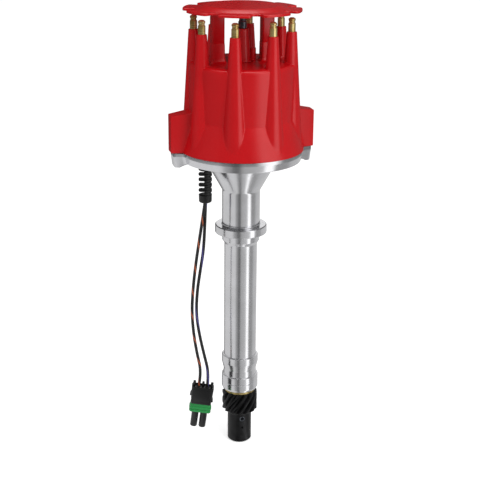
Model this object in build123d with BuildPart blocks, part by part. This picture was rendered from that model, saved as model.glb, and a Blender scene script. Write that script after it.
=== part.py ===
from build123d import *
import os
from math import atan2, cos, degrees, pi, radians, sin, sqrt, tan

# Ignition distributor of a V8 engine, with its cap, wire retainer and two-wire pickup lead.
# Millimetres. Z is the shaft's axis and points up, z = 0 is the underside of the mounting
# collar, which clamps on the engine, and X runs through the two hold-down ears.

os.makedirs("parts", exist_ok=True)

# ---- clearances -------------------------------------------------------------
pressed_gap = 0.03          # radial, between pieces that are pressed or moulded together
running_gap = 0.05          # radial, between a shaft or pin and its bore
seat_gap = 0.15             # axial, between a turning piece and the piece that it thrusts on
screw_gap = 0.3             # radial, round a screw in its clearance hole
touch_gap = 0.3             # between free curved faces

# ---- shaft ------------------------------------------------------------------
shaft_radius = 6.35
shaft_foot_z = -199.0       # lower end, inside the gear's hub
pump_slot_width = 4.8       # slot that drives the oil pump's rod
pump_slot_depth = 6.5

# ---- housing ----------------------------------------------------------------
collar_radius = 22.4
collar_height = 7.5
collar_edge = 1.2
neck_radius = 16.3
pilot_radius = 16.1         # short fit below the collar, in the engine's bore
pilot_length = 6.5
tube_radius = 14.25
band_radius = 16.2          # bands that fit the lower bore and carry its oil
band_top_z = -114.6
upper_band_height = 6.6
groove_radius = 14.6
groove_top_z = -127.8
groove_bottom_z = -133.4
lower_band_foot_z = -145.4
seal_line_z = -140.0
housing_foot_z = -147.3
housing_foot_radius = 15.3
funnel_foot_z = 38.2
funnel_top_radius = 31.4
flange_foot_z = 65.5
flange_height = 9.0
flange_radius = 51.5
bowl_wall = 4.0
bowl_floor = 3.5
shaft_bore_radius = 7.4
ear_end_x = 57.8
ear_end_width = 11.0
ear_flare = 20.0            # degrees, each flank of an ear
ear_corner = 2.5

# ---- ball bearing at the top of the shaft, and bushing at its foot ----------
bearing_outer_radius = 14.29
bearing_height = 7.94
bearing_seat_z = 57.5
bearing_ring_wall = 2.2
ball_count = 9
ball_radius = 2.2
snap_ring_thickness = 1.1
snap_ring_depth = 0.9
bushing_radius = 8.6
bushing_length = 38.0

# ---- gear at the foot -------------------------------------------------------
washer_thickness = 1.3
washer_radius = 13.4
gear_teeth = 13
gear_radius = 15.75
gear_root_radius = 12.3
gear_top_z = -150.3
gear_face = 19.9
gear_helix = 36.0           # degrees, right-hand
gear_foot_z = -199.7
gear_hub_radius = 10.7
roll_pin_radius = 2.38
roll_pin_z = -176.0
dimple_radius = 1.0
dimple_z = -184.5

# ---- cap --------------------------------------------------------------------
cap_foot_radius = 52.5
cap_lip_height = 1.2
cap_body_radius = 44.2
cap_crease_z = 101.5
cap_deck_z = 147.8
cap_shoulder = 2.5
cap_wall = 4.0
tower_count = 8
tower_circle_radius = 40.6
tower_start_angle = 22.5    # degrees, so that the ears lie midway between two towers
tower_top_z = 173.3
tower_top_radius = 4.2
tower_draft = 0.065         # growth in radius for each unit down
tower_foot_z = 80.0
coil_tower_top_z = 175.0
coil_tower_top_radius = 5.2
vent_boss_x = 10.4
vent_boss_y = 5.6
vent_boss_radius = 2.75
vent_boss_height = 10.0
cap_ear_end_x = 60.3
cap_ear_top_z = 105.4       # at the ear's outer end
cap_ear_slope = 9.0         # degrees, down and outward
hold_down_x = 53.6
pedestal_x = 21.0
pedestal_top_z = 163.5

# ---- terminals --------------------------------------------------------------
terminal_shank_radius = 1.9
terminal_base_radius = 3.05
terminal_waist_radius = 2.25
terminal_head_radius = 2.75
terminal_height = 12.0
terminal_base_height = 5.2
terminal_waist_foot = 6.6
terminal_waist_top = 8.0
terminal_head_foot = 9.2
terminal_head_round = 11.2
coil_terminal_growth = 0.4  # in radius, over a plug terminal
contact_radius = 2.6
contact_circle_radius = 37.0
contact_length = 10.3

# ---- wire retainer ----------------------------------------------------------
petal_radius = 48.8
retainer_clearance = 2.4    # over the highest terminal
petal_thickness = 2.0
petal_corner = 3.0
scallop_radius = 4.7
scallop_circle_radius = 43.3
crown_foot_radius = 39.6
crown_top_radius = 34.0
crown_height = 2.0
leg_width = 9.6
leg_edge = 1.4
pedestal_growth = 1.6       # in width, over a leg
peg_radius = 2.4
peg_length = 5.0

# ---- screws -----------------------------------------------------------------
hold_down_screw_radius = 2.4
hold_down_head_radius = 4.1
hold_down_head_height = 4.0
hold_down_seat_z = 96.0
small_screw_radius = 1.45
small_head_radius = 2.7
small_head_height = 1.8

# ---- advance mechanism ------------------------------------------------------
base_plate_z = 86.0
base_plate_thickness = 2.5
base_plate_radius = 31.0
sleeve_radius = 9.0
sleeve_foot_z = 73.6
reluctor_height = 5.0
reluctor_hub_radius = 12.4
reluctor_radius = 19.0
reluctor_paddle = 3.6
reluctor_pin_radius = 0.9
weight_thickness = 5.0
weight_pin_radius = 2.4
weight_pin_circle = 21.0
weight_inner_radius = 11.4
weight_outer_radius = 25.0
weight_span = 62.0          # degrees of the circle that a weight covers
cam_plate_thickness = 4.0
cam_hub_radius = 9.6
cam_lobe_radius = 19.6
cam_lobe_width = 9.0
cam_lobe_angle = 98.0
cam_post_circle = 15.6
cam_post_radius = 1.5
stop_bushing_radius = 2.9
advance_range = 12.0        # degrees
spring_coil_radius = 2.1
spring_wire_radius = 0.45
spring_ridges = 7           # each stands for a few turns of the wire

# ---- rotor ------------------------------------------------------------------
rotor_disc_z = 101.0
rotor_disc_thickness = 3.0
rotor_disc_radius = 33.5
rotor_tip_radius = 33.7
rotor_post_radius = 4.6
rotor_post_circle = 26.0
rotor_post_angle = 137.0
rotor_blade_z = 134.0
rotor_blade_thickness = 1.4
rotor_blade_width = 8.0
rotor_boss_foot_radius = 17.0
rotor_boss_top_radius = 9.0
button_radius = 2.6
button_top_z = 142.0

# ---- pickup -----------------------------------------------------------------
pickup_angle = 262.0        # degrees round the axis
air_gap = 0.5
pole_height = 4.0
pole_width = 7.0
coil_width = 16.0
coil_length = 9.0
coil_height = 10.0
bracket_thickness = 1.6
pickup_screw_depth = 2.5

# ---- strain relief and lead -------------------------------------------------
relief_x = -34.5
relief_y = -13.9
relief_radius = 5.6
relief_length = 32.4
relief_collar_radius = 5.4
relief_collar_length = 8.4
relief_neck_radius = 4.2
relief_fin_count = 4
relief_fin_pitch = 4.6
relief_slot = 2.8
relief_fin_width = 3.8
relief_heading = -14.5      # degrees round Z, from the slots' side to the spine's side
wire_radius = 1.2
wire_orange_route = [
    (-35.1, -15.2, 33.1), (-36.8, -14.4, 20.1), (-39.7, -13.4, -0.4), (-42.6, -12.4, -21.2),
    (-45.0, -11.4, -44.2), (-46.1, -10.9, -64.8), (-45.0, -11.1, -84.5), (-42.2, -11.8, -104.5),
    (-38.2, -12.8, -123.7)]
wire_violet_route = [
    (-33.9, -12.5, 33.1), (-34.6, -12.6, 15.0), (-35.8, -12.6, -9.9), (-38.8, -12.1, -28.9),
    (-41.4, -11.7, -47.2), (-42.4, -11.7, -67.6), (-40.1, -12.3, -86.4), (-36.0, -13.4, -106.4),
    (-31.9, -14.5, -124.5)]

# ---- connector --------------------------------------------------------------
connector_x = -36.85        # middle of the face that the wires enter
connector_y = -13.24
connector_z = -136.97
connector_width = 19.6
connector_depth = 10.6
connector_height = 16.4
connector_pitch = 7.6
connector_tower_radius = 3.1
connector_tower_length = 15.2
seal_band_height = 8.0
seal_bulge = 0.9
seal_ribs = 3
post_height = 4.0
post_pitch = 7.8

# ---- values that follow from the ones above ---------------------------------
flange_top_z = flange_foot_z + flange_height
bowl_floor_z = flange_foot_z + bowl_floor
bowl_radius = flange_radius - bowl_wall
bearing_top_z = bearing_seat_z + bearing_height
cap_inner_radius = cap_body_radius - cap_wall
cap_ceiling_z = cap_deck_z - cap_wall
highest_tower_z = max(coil_tower_top_z, tower_top_z)
petal_foot_z = highest_tower_z + terminal_height + retainer_clearance
base_plate_top_z = base_plate_z + base_plate_thickness
cam_plate_z = base_plate_top_z + 0.8
cam_plate_top_z = cam_plate_z + cam_plate_thickness
weight_z = base_plate_top_z + 0.3
retainer_top_z = petal_foot_z + petal_thickness + crown_height
tower_angles = [tower_start_angle + i * 360 / tower_count for i in range(tower_count)]


def polar(radius, angle):
    """Point on a circle round the shaft, at an angle in degrees."""
    return (radius * cos(radians(angle)), radius * sin(radians(angle)))


def tower_radius_at(top_radius, top_z, z):
    """Radius of a drafted tower at height z."""
    return top_radius + (top_z - z) * tower_draft


def ear_outline(end_x, end_width, corner):
    """Plan of one hold-down ear on +X: a flat end with round corners, and flanks that flare."""
    reach = end_x - 20.0
    root_half = end_width / 2 + reach * tan(radians(ear_flare))
    with BuildSketch() as outline:
        with BuildLine():
            Polyline((end_x, -end_width / 2), (end_x, end_width / 2), (end_x - reach, root_half),
                     (end_x - reach, -root_half), (end_x, -end_width / 2))
        make_face()
        fillet(outline.vertices().group_by(Axis.X)[-1], radius=corner)
    return outline.sketch


# Reluctor on the sleeve, and the pickup beside it on the bowl's floor
reluctor_z = sleeve_foot_z + 0.6
reluctor_middle_z = reluctor_z + reluctor_height / 2
reluctor_pin_place = Location(((reluctor_hub_radius + shaft_radius) / 2, 0, reluctor_middle_z), (0, 90, 0))
reluctor_pin_hole = Location((reluctor_hub_radius, 0, reluctor_middle_z), (0, 90, 0))
pole_radius = reluctor_radius + air_gap
coil_inner = pole_radius + 4.0
coil_outer = coil_inner + coil_length
magnet_length = 5.0
bracket_outer = coil_outer + magnet_length + 2.0
bracket_width = coil_width + 14.0
pickup_screw_x = (coil_inner + coil_outer) / 2
pickup_screw_y = bracket_width / 2 - 3.6
pickup_plane = Plane(origin=(0, 0, bowl_floor_z), x_dir=(*polar(1, pickup_angle), 0), z_dir=(0, 0, 1))
pickup_middle = reluctor_middle_z - bowl_floor_z

# =============================================================================
# Housing and what stays still in it
# =============================================================================

# Turned housing: collar, tube with its two bands, funnel and the flange's bowl
with BuildPart() as housing:
    with BuildSketch(Plane.XZ):
        with BuildLine():
            Polyline(
                (0, housing_foot_z), (housing_foot_radius, housing_foot_z),
                (band_radius, lower_band_foot_z), (band_radius, groove_bottom_z),
                (groove_radius, groove_bottom_z), (groove_radius, groove_top_z),
                (band_radius, band_top_z - upper_band_height), (band_radius, band_top_z),
                (tube_radius, band_top_z), (tube_radius, -pilot_length - 3.0),
                (pilot_radius, -pilot_length), (pilot_radius, 0),
                (collar_radius, 0), (collar_radius, collar_height),
                (neck_radius, collar_height), (neck_radius, funnel_foot_z),
                (funnel_top_radius, flange_foot_z), (flange_radius, flange_foot_z),
                (flange_radius, flange_top_z), (0, flange_top_z), (0, housing_foot_z))
        make_face()
    revolve(axis=Axis.Z)
    collar_rims = housing.edges().filter_by(GeomType.CIRCLE).filter_by(
        lambda edge: abs(edge.radius - collar_radius) < 0.01)
    fillet(collar_rims, radius=collar_edge)
    with BuildSketch(Plane.XY.offset(flange_foot_z)):
        add(ear_outline(ear_end_x, ear_end_width, ear_corner))
        add(ear_outline(ear_end_x, ear_end_width, ear_corner).rotate(Axis.Z, 180))
    extrude(amount=flange_height)
    # Bore for the bushing, the shaft and the bearing, and the bowl above them
    with BuildSketch(Plane.XZ):
        with BuildLine():
            Polyline(
                (0, housing_foot_z), (bushing_radius, housing_foot_z),
                (bushing_radius, housing_foot_z + bushing_length),
                (shaft_bore_radius, housing_foot_z + bushing_length),
                (shaft_bore_radius, bearing_seat_z - 2.0),
                (bearing_outer_radius - bearing_ring_wall, bearing_seat_z - 2.0),
                (bearing_outer_radius - bearing_ring_wall, bearing_seat_z),
                (bearing_outer_radius + pressed_gap, bearing_seat_z),
                (bearing_outer_radius + pressed_gap, bearing_top_z + seat_gap),
                (bearing_outer_radius + snap_ring_depth, bearing_top_z + seat_gap),
                (bearing_outer_radius + snap_ring_depth, bearing_top_z + 2 * seat_gap + snap_ring_thickness),
                (bearing_outer_radius + pressed_gap, bearing_top_z + 2 * seat_gap + snap_ring_thickness),
                (bearing_outer_radius + pressed_gap, bowl_floor_z),
                (bowl_radius, bowl_floor_z), (bowl_radius, flange_top_z + 1),
                (0, flange_top_z + 1), (0, housing_foot_z))
        make_face()
    revolve(axis=Axis.Z, mode=Mode.SUBTRACT)
    # Fine line turned round the lower band
    with BuildSketch(Plane.XZ):
        with Locations((band_radius, seal_line_z)):
            Rectangle(0.8, 0.7)
    revolve(axis=Axis.Z, mode=Mode.SUBTRACT)
    # Threaded holes for the hold-down screws, and the hole that the strain relief fills
    with Locations(Plane.XY.offset(flange_top_z)):
        with Locations((hold_down_x, 0), (-hold_down_x, 0)):
            Hole(radius=hold_down_screw_radius + pressed_gap, depth=flange_height)
        with Locations((relief_x, relief_y)):
            Hole(radius=relief_neck_radius + pressed_gap, depth=flange_height)
    # Threaded holes for the pickup's screws
    with BuildSketch(pickup_plane.offset(-pickup_screw_depth - 0.2)):
        with Locations((pickup_screw_x, pickup_screw_y), (pickup_screw_x, -pickup_screw_y)):
            Circle(small_screw_radius + pressed_gap)
    extrude(amount=pickup_screw_depth + 0.5, mode=Mode.SUBTRACT)
housing.part.label = "housing"
export_step(housing.part, "parts/housing.step")

# Sintered bushing pressed into the foot of the housing
with BuildPart() as lower_bushing:
    with BuildSketch(Plane.XY.offset(housing_foot_z)):
        Circle(bushing_radius - pressed_gap)
        Circle(shaft_radius + running_gap, mode=Mode.SUBTRACT)
    extrude(amount=bushing_length - seat_gap)
lower_bushing.part.label = "lower_bushing"
export_step(lower_bushing.part, "parts/lower_bushing.step")

# Ball bearing: outer ring in the housing, inner ring on the shaft, both with a race
bearing_middle_z = bearing_seat_z + bearing_height / 2
ball_circle_radius = (bearing_outer_radius + shaft_radius) / 2
race_gap = 0.05

with BuildPart() as bearing_outer_ring:
    with BuildSketch(Plane.XY.offset(bearing_seat_z)):
        Circle(bearing_outer_radius)
        Circle(bearing_outer_radius - bearing_ring_wall, mode=Mode.SUBTRACT)
    extrude(amount=bearing_height)
    with BuildSketch(Plane.XZ):
        with Locations((ball_circle_radius, bearing_middle_z)):
            Circle(ball_radius + race_gap)
    revolve(axis=Axis.Z, mode=Mode.SUBTRACT)
bearing_outer_ring.part.label = "bearing_outer_ring"
export_step(bearing_outer_ring.part, "parts/bearing_outer_ring.step")

with BuildPart() as bearing_inner_ring:
    with BuildSketch(Plane.XY.offset(bearing_seat_z)):
        Circle(shaft_radius + bearing_ring_wall)
        Circle(shaft_radius + pressed_gap, mode=Mode.SUBTRACT)
    extrude(amount=bearing_height)
    with BuildSketch(Plane.XZ):
        with Locations((ball_circle_radius, bearing_middle_z)):
            Circle(ball_radius + race_gap)
    revolve(axis=Axis.Z, mode=Mode.SUBTRACT)
bearing_inner_ring.part.label = "bearing_inner_ring"
export_step(bearing_inner_ring.part, "parts/bearing_inner_ring.step")

with BuildPart() as bearing_balls:
    with Locations(Plane.XY.offset(bearing_middle_z)):
        with PolarLocations(ball_circle_radius, ball_count):
            Sphere(ball_radius)
bearing_balls.part.label = "bearing_balls"
export_step(bearing_balls.part, "parts/bearing_balls.step")

# Snap ring over the bearing, open at one side with two eyes for the pliers
with BuildPart() as bearing_snap_ring:
    with BuildSketch(Plane.XY.offset(bearing_top_z + 1.5 * seat_gap)):
        Circle(bearing_outer_radius + snap_ring_depth - 0.2)
        Circle(bearing_outer_radius - 1.2, mode=Mode.SUBTRACT)
        with Locations((0, bearing_outer_radius)):
            Rectangle(7.0, 8.0, mode=Mode.SUBTRACT)
    extrude(amount=snap_ring_thickness)
bearing_snap_ring.part.label = "bearing_snap_ring"
export_step(bearing_snap_ring.part, "parts/bearing_snap_ring.step")

# =============================================================================
# Shaft, gear and the cam plate on the shaft's top
# =============================================================================

with BuildPart() as drive_shaft:
    with BuildSketch(Plane.XY.offset(shaft_foot_z)):
        Circle(shaft_radius)
    extrude(amount=cam_plate_top_z - shaft_foot_z)
    chamfer(drive_shaft.edges().filter_by(GeomType.CIRCLE), length=0.5)
    # Slot for the oil pump's rod
    with Locations((0, 0, shaft_foot_z + pump_slot_depth / 2)):
        Box(4 * shaft_radius, pump_slot_width, pump_slot_depth, mode=Mode.SUBTRACT)
    # Cross hole for the gear's roll pin
    with Locations(Plane.XZ.offset(-2 * shaft_radius)):
        with Locations((0, roll_pin_z)):
            Hole(radius=roll_pin_radius + pressed_gap, depth=4 * shaft_radius)
drive_shaft.part.label = "drive_shaft"
export_step(drive_shaft.part, "parts/drive_shaft.step")

# Helical gear: trapezoid teeth twisted along a right-hand helix, on a long plain hub
pitch_radius = (gear_radius + gear_root_radius) / 2
gear_twist = degrees(gear_face * tan(radians(gear_helix)) / pitch_radius)
tooth_angle = 360 / gear_teeth


def tooth_point(radius, share):
    """Point of the gear's outline at a share of one tooth's pitch angle."""
    angle = radians(share * tooth_angle)
    return (radius * cos(angle), radius * sin(angle))


with BuildSketch(Plane.XY.offset(gear_top_z - gear_face)) as tooth_section:
    Circle(gear_root_radius)
    with BuildLine():
        Polyline(tooth_point(gear_root_radius - 0.6, -0.34), tooth_point(gear_root_radius, -0.32),
                 tooth_point(pitch_radius, -0.24), tooth_point(gear_radius, -0.12),
                 tooth_point(gear_radius, 0.12), tooth_point(pitch_radius, 0.24),
                 tooth_point(gear_root_radius, 0.32), tooth_point(gear_root_radius - 0.6, 0.34),
                 tooth_point(gear_root_radius - 0.6, -0.34))
    make_face()
gear_profile = Sketch() + tooth_section.sketch
for tooth in range(1, gear_teeth):
    gear_profile += tooth_section.sketch.rotate(Axis.Z, tooth * tooth_angle)

toothed_blank = Solid.extrude_linear_with_rotation(
    gear_profile.face(), center=(0, 0, gear_top_z - gear_face), normal=(0, 0, gear_face), angle=gear_twist)

with BuildPart() as drive_gear:
    add(toothed_blank)
    # Chamfered ends of the teeth
    with BuildSketch(Plane.XZ):
        with BuildLine():
            Polyline((0, gear_top_z), (gear_root_radius + 1.6, gear_top_z),
                     (gear_radius + 0.1, gear_top_z - 1.6), (gear_radius + 0.1, gear_top_z - gear_face + 1.8),
                     (gear_root_radius - 0.4, gear_top_z - gear_face), (0, gear_top_z - gear_face),
                     (0, gear_top_z))
        make_face()
    revolve(axis=Axis.Z, mode=Mode.INTERSECT)
    # Fillet-like cone from the teeth to the hub, and the hub
    with BuildSketch(Plane.XZ):
        with BuildLine():
            Polyline((0, gear_top_z - gear_face), (gear_root_radius - 0.4, gear_top_z - gear_face),
                     (gear_hub_radius, gear_top_z - gear_face - 1.7), (gear_hub_radius, gear_foot_z + 1.5),
                     (gear_hub_radius - 1.5, gear_foot_z), (0, gear_foot_z), (0, gear_top_z - gear_face))
        make_face()
    revolve(axis=Axis.Z)
    with BuildSketch(Plane.XY.offset(gear_foot_z)):
        Circle(shaft_radius + pressed_gap)
    extrude(amount=gear_top_z - gear_foot_z, mode=Mode.SUBTRACT)
    with Locations(Plane.XZ.offset(-2 * gear_hub_radius)):
        with Locations((0, roll_pin_z)):
            Hole(radius=roll_pin_radius + pressed_gap, depth=4 * gear_hub_radius)
    # Drill dimple below the pin
    with Locations(Plane.XZ.offset(gear_hub_radius)):
        with Locations((0, dimple_z)):
            Hole(radius=dimple_radius, depth=1.2)
drive_gear.part.label = "drive_gear"
export_step(drive_gear.part, "parts/drive_gear.step")

# Rolled spring pin: a tube with a slit along it
with BuildPart() as gear_roll_pin:
    with BuildSketch(Plane.XZ.offset(-gear_hub_radius + 0.4)):
        with Locations((0, roll_pin_z)):
            Circle(roll_pin_radius)
            Circle(roll_pin_radius - 0.75, mode=Mode.SUBTRACT)
        with Locations((0, roll_pin_z + roll_pin_radius)):
            Rectangle(0.6, 2.4, mode=Mode.SUBTRACT)
    extrude(amount=2 * (gear_hub_radius - 0.4))
gear_roll_pin.part.label = "gear_roll_pin"
export_step(gear_roll_pin.part, "parts/gear_roll_pin.step")

# Brass thrust washers stacked between the housing and the gear
with BuildPart() as thrust_washers:
    for level in range(2):
        with BuildSketch(Plane.XY.offset(housing_foot_z - seat_gap - washer_thickness
                                         - level * (washer_thickness + 0.05))):
            Circle(washer_radius)
            Circle(shaft_radius + running_gap, mode=Mode.SUBTRACT)
        extrude(amount=washer_thickness)
thrust_washers.part.label = "thrust_washers"
export_step(thrust_washers.part, "parts/thrust_washers.step")

# Collar on the shaft that carries the advance sleeve, and the washer on it
with BuildPart() as shaft_collar:
    with BuildSketch(Plane.XY.offset(bearing_top_z + seat_gap)):
        Circle(shaft_radius + 2.4)
        Circle(shaft_radius + pressed_gap, mode=Mode.SUBTRACT)
        with Locations((shaft_radius + 1.5, 0)):
            Rectangle(5.0, 5.0, mode=Mode.SUBTRACT)
    extrude(amount=sleeve_foot_z - seat_gap - 1.2 - bearing_top_z - seat_gap)
shaft_collar.part.label = "shaft_collar"
export_step(shaft_collar.part, "parts/shaft_collar.step")

with BuildPart() as advance_washer:
    with BuildSketch(Plane.XY.offset(sleeve_foot_z - seat_gap - 1.2)):
        Circle(sleeve_radius)
        Circle(shaft_radius + pressed_gap, mode=Mode.SUBTRACT)
    extrude(amount=1.2)
advance_washer.part.label = "advance_washer"
export_step(advance_washer.part, "parts/advance_washer.step")

# Cam plate: a hub with two lobes, fixed on the shaft's top
with BuildPart() as cam_plate:
    with BuildSketch(Plane.XY.offset(cam_plate_z)):
        Circle(cam_hub_radius)
        SlotCenterToCenter(2 * cam_lobe_radius - cam_lobe_width, cam_lobe_width,
                           rotation=cam_lobe_angle)
        Circle(shaft_radius + pressed_gap, mode=Mode.SUBTRACT)
        with PolarLocations(cam_post_circle, 2, start_angle=cam_lobe_angle):
            Circle(cam_post_radius + pressed_gap, mode=Mode.SUBTRACT)
    extrude(amount=cam_plate_thickness)
cam_plate.part.label = "cam_plate"
export_step(cam_plate.part, "parts/cam_plate.step")

# Shouldered posts on the lobes, which hold the springs; one reaches down as the stop pin
cam_post_top_z = weight_z + weight_thickness + 5.7
spring_z = weight_z + weight_thickness + 2.4
stop_nut_height = 2.4
stop_pin_foot_z = base_plate_z - stop_nut_height - 0.4


post_a = polar(cam_post_circle, cam_lobe_angle)
post_b = polar(cam_post_circle, cam_lobe_angle + 180)

with BuildPart() as cam_posts:
    with BuildSketch(Plane.XY.offset(cam_plate_z)):
        with Locations(post_a):
            Circle(cam_post_radius)
    extrude(amount=cam_post_top_z - cam_plate_z)
    with BuildSketch(Plane.XY.offset(stop_pin_foot_z)):
        with Locations(post_b):
            Circle(cam_post_radius)
    extrude(amount=cam_post_top_z - stop_pin_foot_z)
    # Heads above the springs
    with BuildSketch(Plane.XY.offset(cam_post_top_z - 1.0)):
        with Locations(post_a, post_b):
            Circle(cam_post_radius + 0.8)
    extrude(amount=1.0)
cam_posts.part.label = "cam_posts"
export_step(cam_posts.part, "parts/cam_posts.step")

with BuildPart() as stop_bushing:
    with BuildSketch(Plane.XY.offset(base_plate_z - 0.3)):
        with Locations(post_b):
            Circle(stop_bushing_radius)
            Circle(cam_post_radius + pressed_gap, mode=Mode.SUBTRACT)
    extrude(amount=cam_plate_z - base_plate_z + 0.3)
stop_bushing.part.label = "stop_bushing"
export_step(stop_bushing.part, "parts/stop_bushing.step")

with BuildPart() as stop_nut:
    with BuildSketch(Plane.XY.offset(base_plate_z - 0.3 - stop_nut_height)):
        with Locations(post_b):
            RegularPolygon(radius=3.6, side_count=6)
            Circle(cam_post_radius + pressed_gap, mode=Mode.SUBTRACT)
    extrude(amount=stop_nut_height)
stop_nut.part.label = "stop_nut"
export_step(stop_nut.part, "parts/stop_nut.step")

# =============================================================================
# Advance body: base plate on its sleeve, reluctor, weights, springs and rotor
# =============================================================================

pin_a = (weight_pin_circle, 0)
pin_b = (-weight_pin_circle, 0)
rotor_post_a = polar(rotor_post_circle, rotor_post_angle)
rotor_post_b = polar(rotor_post_circle, rotor_post_angle + 180)
stop_slot_half = stop_bushing_radius + touch_gap

with BuildPart() as weight_base_plate:
    with BuildSketch(Plane.XY.offset(base_plate_z)):
        Circle(base_plate_radius)
        # Reliefs between the pins and the rotor's posts
        with PolarLocations(base_plate_radius + 9.0, 2, start_angle=cam_lobe_angle - 38):
            Circle(15.0, mode=Mode.SUBTRACT)
        with Locations(pin_a, pin_b):
            Circle(weight_pin_radius - 0.6 + pressed_gap, mode=Mode.SUBTRACT)
        with Locations(rotor_post_a, rotor_post_b):
            Circle(small_screw_radius + pressed_gap, mode=Mode.SUBTRACT)
        # Slot that limits the advance
        SlotArc(CenterArc((0, 0), cam_post_circle, cam_lobe_angle + 180, advance_range),
                2 * stop_slot_half, mode=Mode.SUBTRACT)
    extrude(amount=base_plate_thickness)
    with BuildSketch(Plane.XY.offset(sleeve_foot_z)):
        Circle(sleeve_radius)
    extrude(amount=base_plate_z - sleeve_foot_z)
    with BuildSketch(Plane.XY.offset(sleeve_foot_z)):
        Circle(shaft_radius + running_gap)
    extrude(amount=base_plate_top_z - sleeve_foot_z, mode=Mode.SUBTRACT)
    with Locations(reluctor_pin_hole):
        Cylinder(reluctor_pin_radius + pressed_gap, 2 * (reluctor_hub_radius - shaft_radius) + 1,
                 mode=Mode.SUBTRACT)
weight_base_plate.part.label = "weight_base_plate"
export_step(weight_base_plate.part, "parts/weight_base_plate.step")

# Reluctor: hub with one paddle for each cylinder, pinned on the sleeve
with BuildPart() as reluctor:
    with BuildSketch(Plane.XY.offset(reluctor_z)):
        Circle(reluctor_hub_radius)
        with PolarLocations((reluctor_hub_radius + reluctor_radius) / 2 - 1, tower_count,
                            start_angle=tower_start_angle):
            Rectangle(reluctor_radius - reluctor_hub_radius + 2, reluctor_paddle)
        Circle(sleeve_radius + pressed_gap, mode=Mode.SUBTRACT)
    extrude(amount=reluctor_height)
    with Locations(reluctor_pin_hole):
        Cylinder(reluctor_pin_radius + pressed_gap, 2 * (reluctor_hub_radius - shaft_radius) + 1,
                 mode=Mode.SUBTRACT)
reluctor.part.label = "reluctor"
export_step(reluctor.part, "parts/reluctor.step")

# Weights: curved arms that swing out on their pins
def weight_outline():
    """Plan of one weight: part of a ring, with a round heel on its pin."""
    tip = weight_span
    with BuildSketch() as outline:
        with BuildLine():
            inner = CenterArc((0, 0), weight_inner_radius, 0, tip)
            outer = CenterArc((0, 0), weight_outer_radius, 0, tip)
            Line(inner @ 0, outer @ 0)
            Line(inner @ 1, outer @ 1)
        make_face()
        fillet(outline.vertices().group_by(Axis.Y)[-1], radius=3.0)
        with Locations(pin_a):
            Circle(weight_pin_radius + 3.2)
            Circle(weight_pin_radius + running_gap, mode=Mode.SUBTRACT)
    return outline.sketch


with BuildPart() as weight_a:
    with BuildSketch(Plane.XY.offset(weight_z)):
        add(weight_outline())
    extrude(amount=weight_thickness)
weight_a.part.label = "weight_a"
export_step(weight_a.part, "parts/weight_a.step")

with BuildPart() as weight_b:
    with BuildSketch(Plane.XY.offset(weight_z)):
        add(weight_outline().rotate(Axis.Z, 180))
    extrude(amount=weight_thickness)
weight_b.part.label = "weight_b"
export_step(weight_b.part, "parts/weight_b.step")

# Pins of the weights, riveted in the base plate, with a head over each spring's eye
with BuildPart() as weight_pins:
    with Locations(pin_a, pin_b):
        with Locations((0, 0, base_plate_z)):
            Cylinder(weight_pin_radius - 0.6, base_plate_thickness,
                     align=(Align.CENTER, Align.CENTER, Align.MIN))
        with Locations((0, 0, base_plate_top_z)):
            Cylinder(weight_pin_radius, weight_thickness + 0.8,
                     align=(Align.CENTER, Align.CENTER, Align.MIN))
            Cylinder(weight_pin_radius - 0.8, cam_post_top_z - base_plate_top_z,
                     align=(Align.CENTER, Align.CENTER, Align.MIN))
        with Locations((0, 0, cam_post_top_z - 1.0)):
            Cylinder(weight_pin_radius, 1.0, align=(Align.CENTER, Align.CENTER, Align.MIN))
weight_pins.part.label = "weight_pins"
export_step(weight_pins.part, "parts/weight_pins.step")

# Roll pin through the reluctor's hub and the sleeve
with BuildPart() as reluctor_pin:
    with Locations(reluctor_pin_place):
        Cylinder(reluctor_pin_radius, reluctor_hub_radius - shaft_radius - 0.6)
reluctor_pin.part.label = "reluctor_pin"
export_step(reluctor_pin.part, "parts/reluctor_pin.step")


def spring_between(start, end, start_radius, end_radius):
    """Extension spring: a close-wound ridged body with a round eye at each end."""
    length = sqrt((end[0] - start[0]) ** 2 + (end[1] - start[1]) ** 2)
    heading = degrees(atan2(end[1] - start[1], end[0] - start[0]))
    start_eye = start_radius + 2 * spring_wire_radius + touch_gap
    end_eye = end_radius + 2 * spring_wire_radius + touch_gap
    body_start = start_eye - spring_wire_radius
    body_length = length - end_eye + spring_wire_radius - body_start
    pitch = body_length / spring_ridges
    valley = spring_coil_radius - spring_wire_radius
    with BuildPart() as spring:
        with BuildSketch(Plane.XZ):
            with BuildLine():
                for ridge in range(spring_ridges):
                    left = body_start + ridge * pitch
                    Polyline((left, valley), (left + pitch / 2, spring_coil_radius),
                             (left + pitch, valley))
                Polyline((body_start + body_length, valley), (body_start + body_length, 0),
                         (body_start, 0), (body_start, valley))
            make_face()
        revolve(axis=Axis.X)
        with Locations((0, 0, 0)):
            Torus(start_eye - spring_wire_radius, spring_wire_radius)
        with Locations((length, 0, 0)):
            Torus(end_eye - spring_wire_radius, spring_wire_radius)
    return spring.part.rotate(Axis.Z, heading).translate((start[0], start[1], spring_z))


with BuildPart() as advance_spring_a:
    add(spring_between(pin_a, post_a, weight_pin_radius - 0.8, cam_post_radius))
advance_spring_a.part.label = "advance_spring_a"
export_step(advance_spring_a.part, "parts/advance_spring_a.step")

with BuildPart() as advance_spring_b:
    add(spring_between(pin_b, post_b, weight_pin_radius - 0.8, cam_post_radius))
advance_spring_b.part.label = "advance_spring_b"
export_step(advance_spring_b.part, "parts/advance_spring_b.step")

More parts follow.
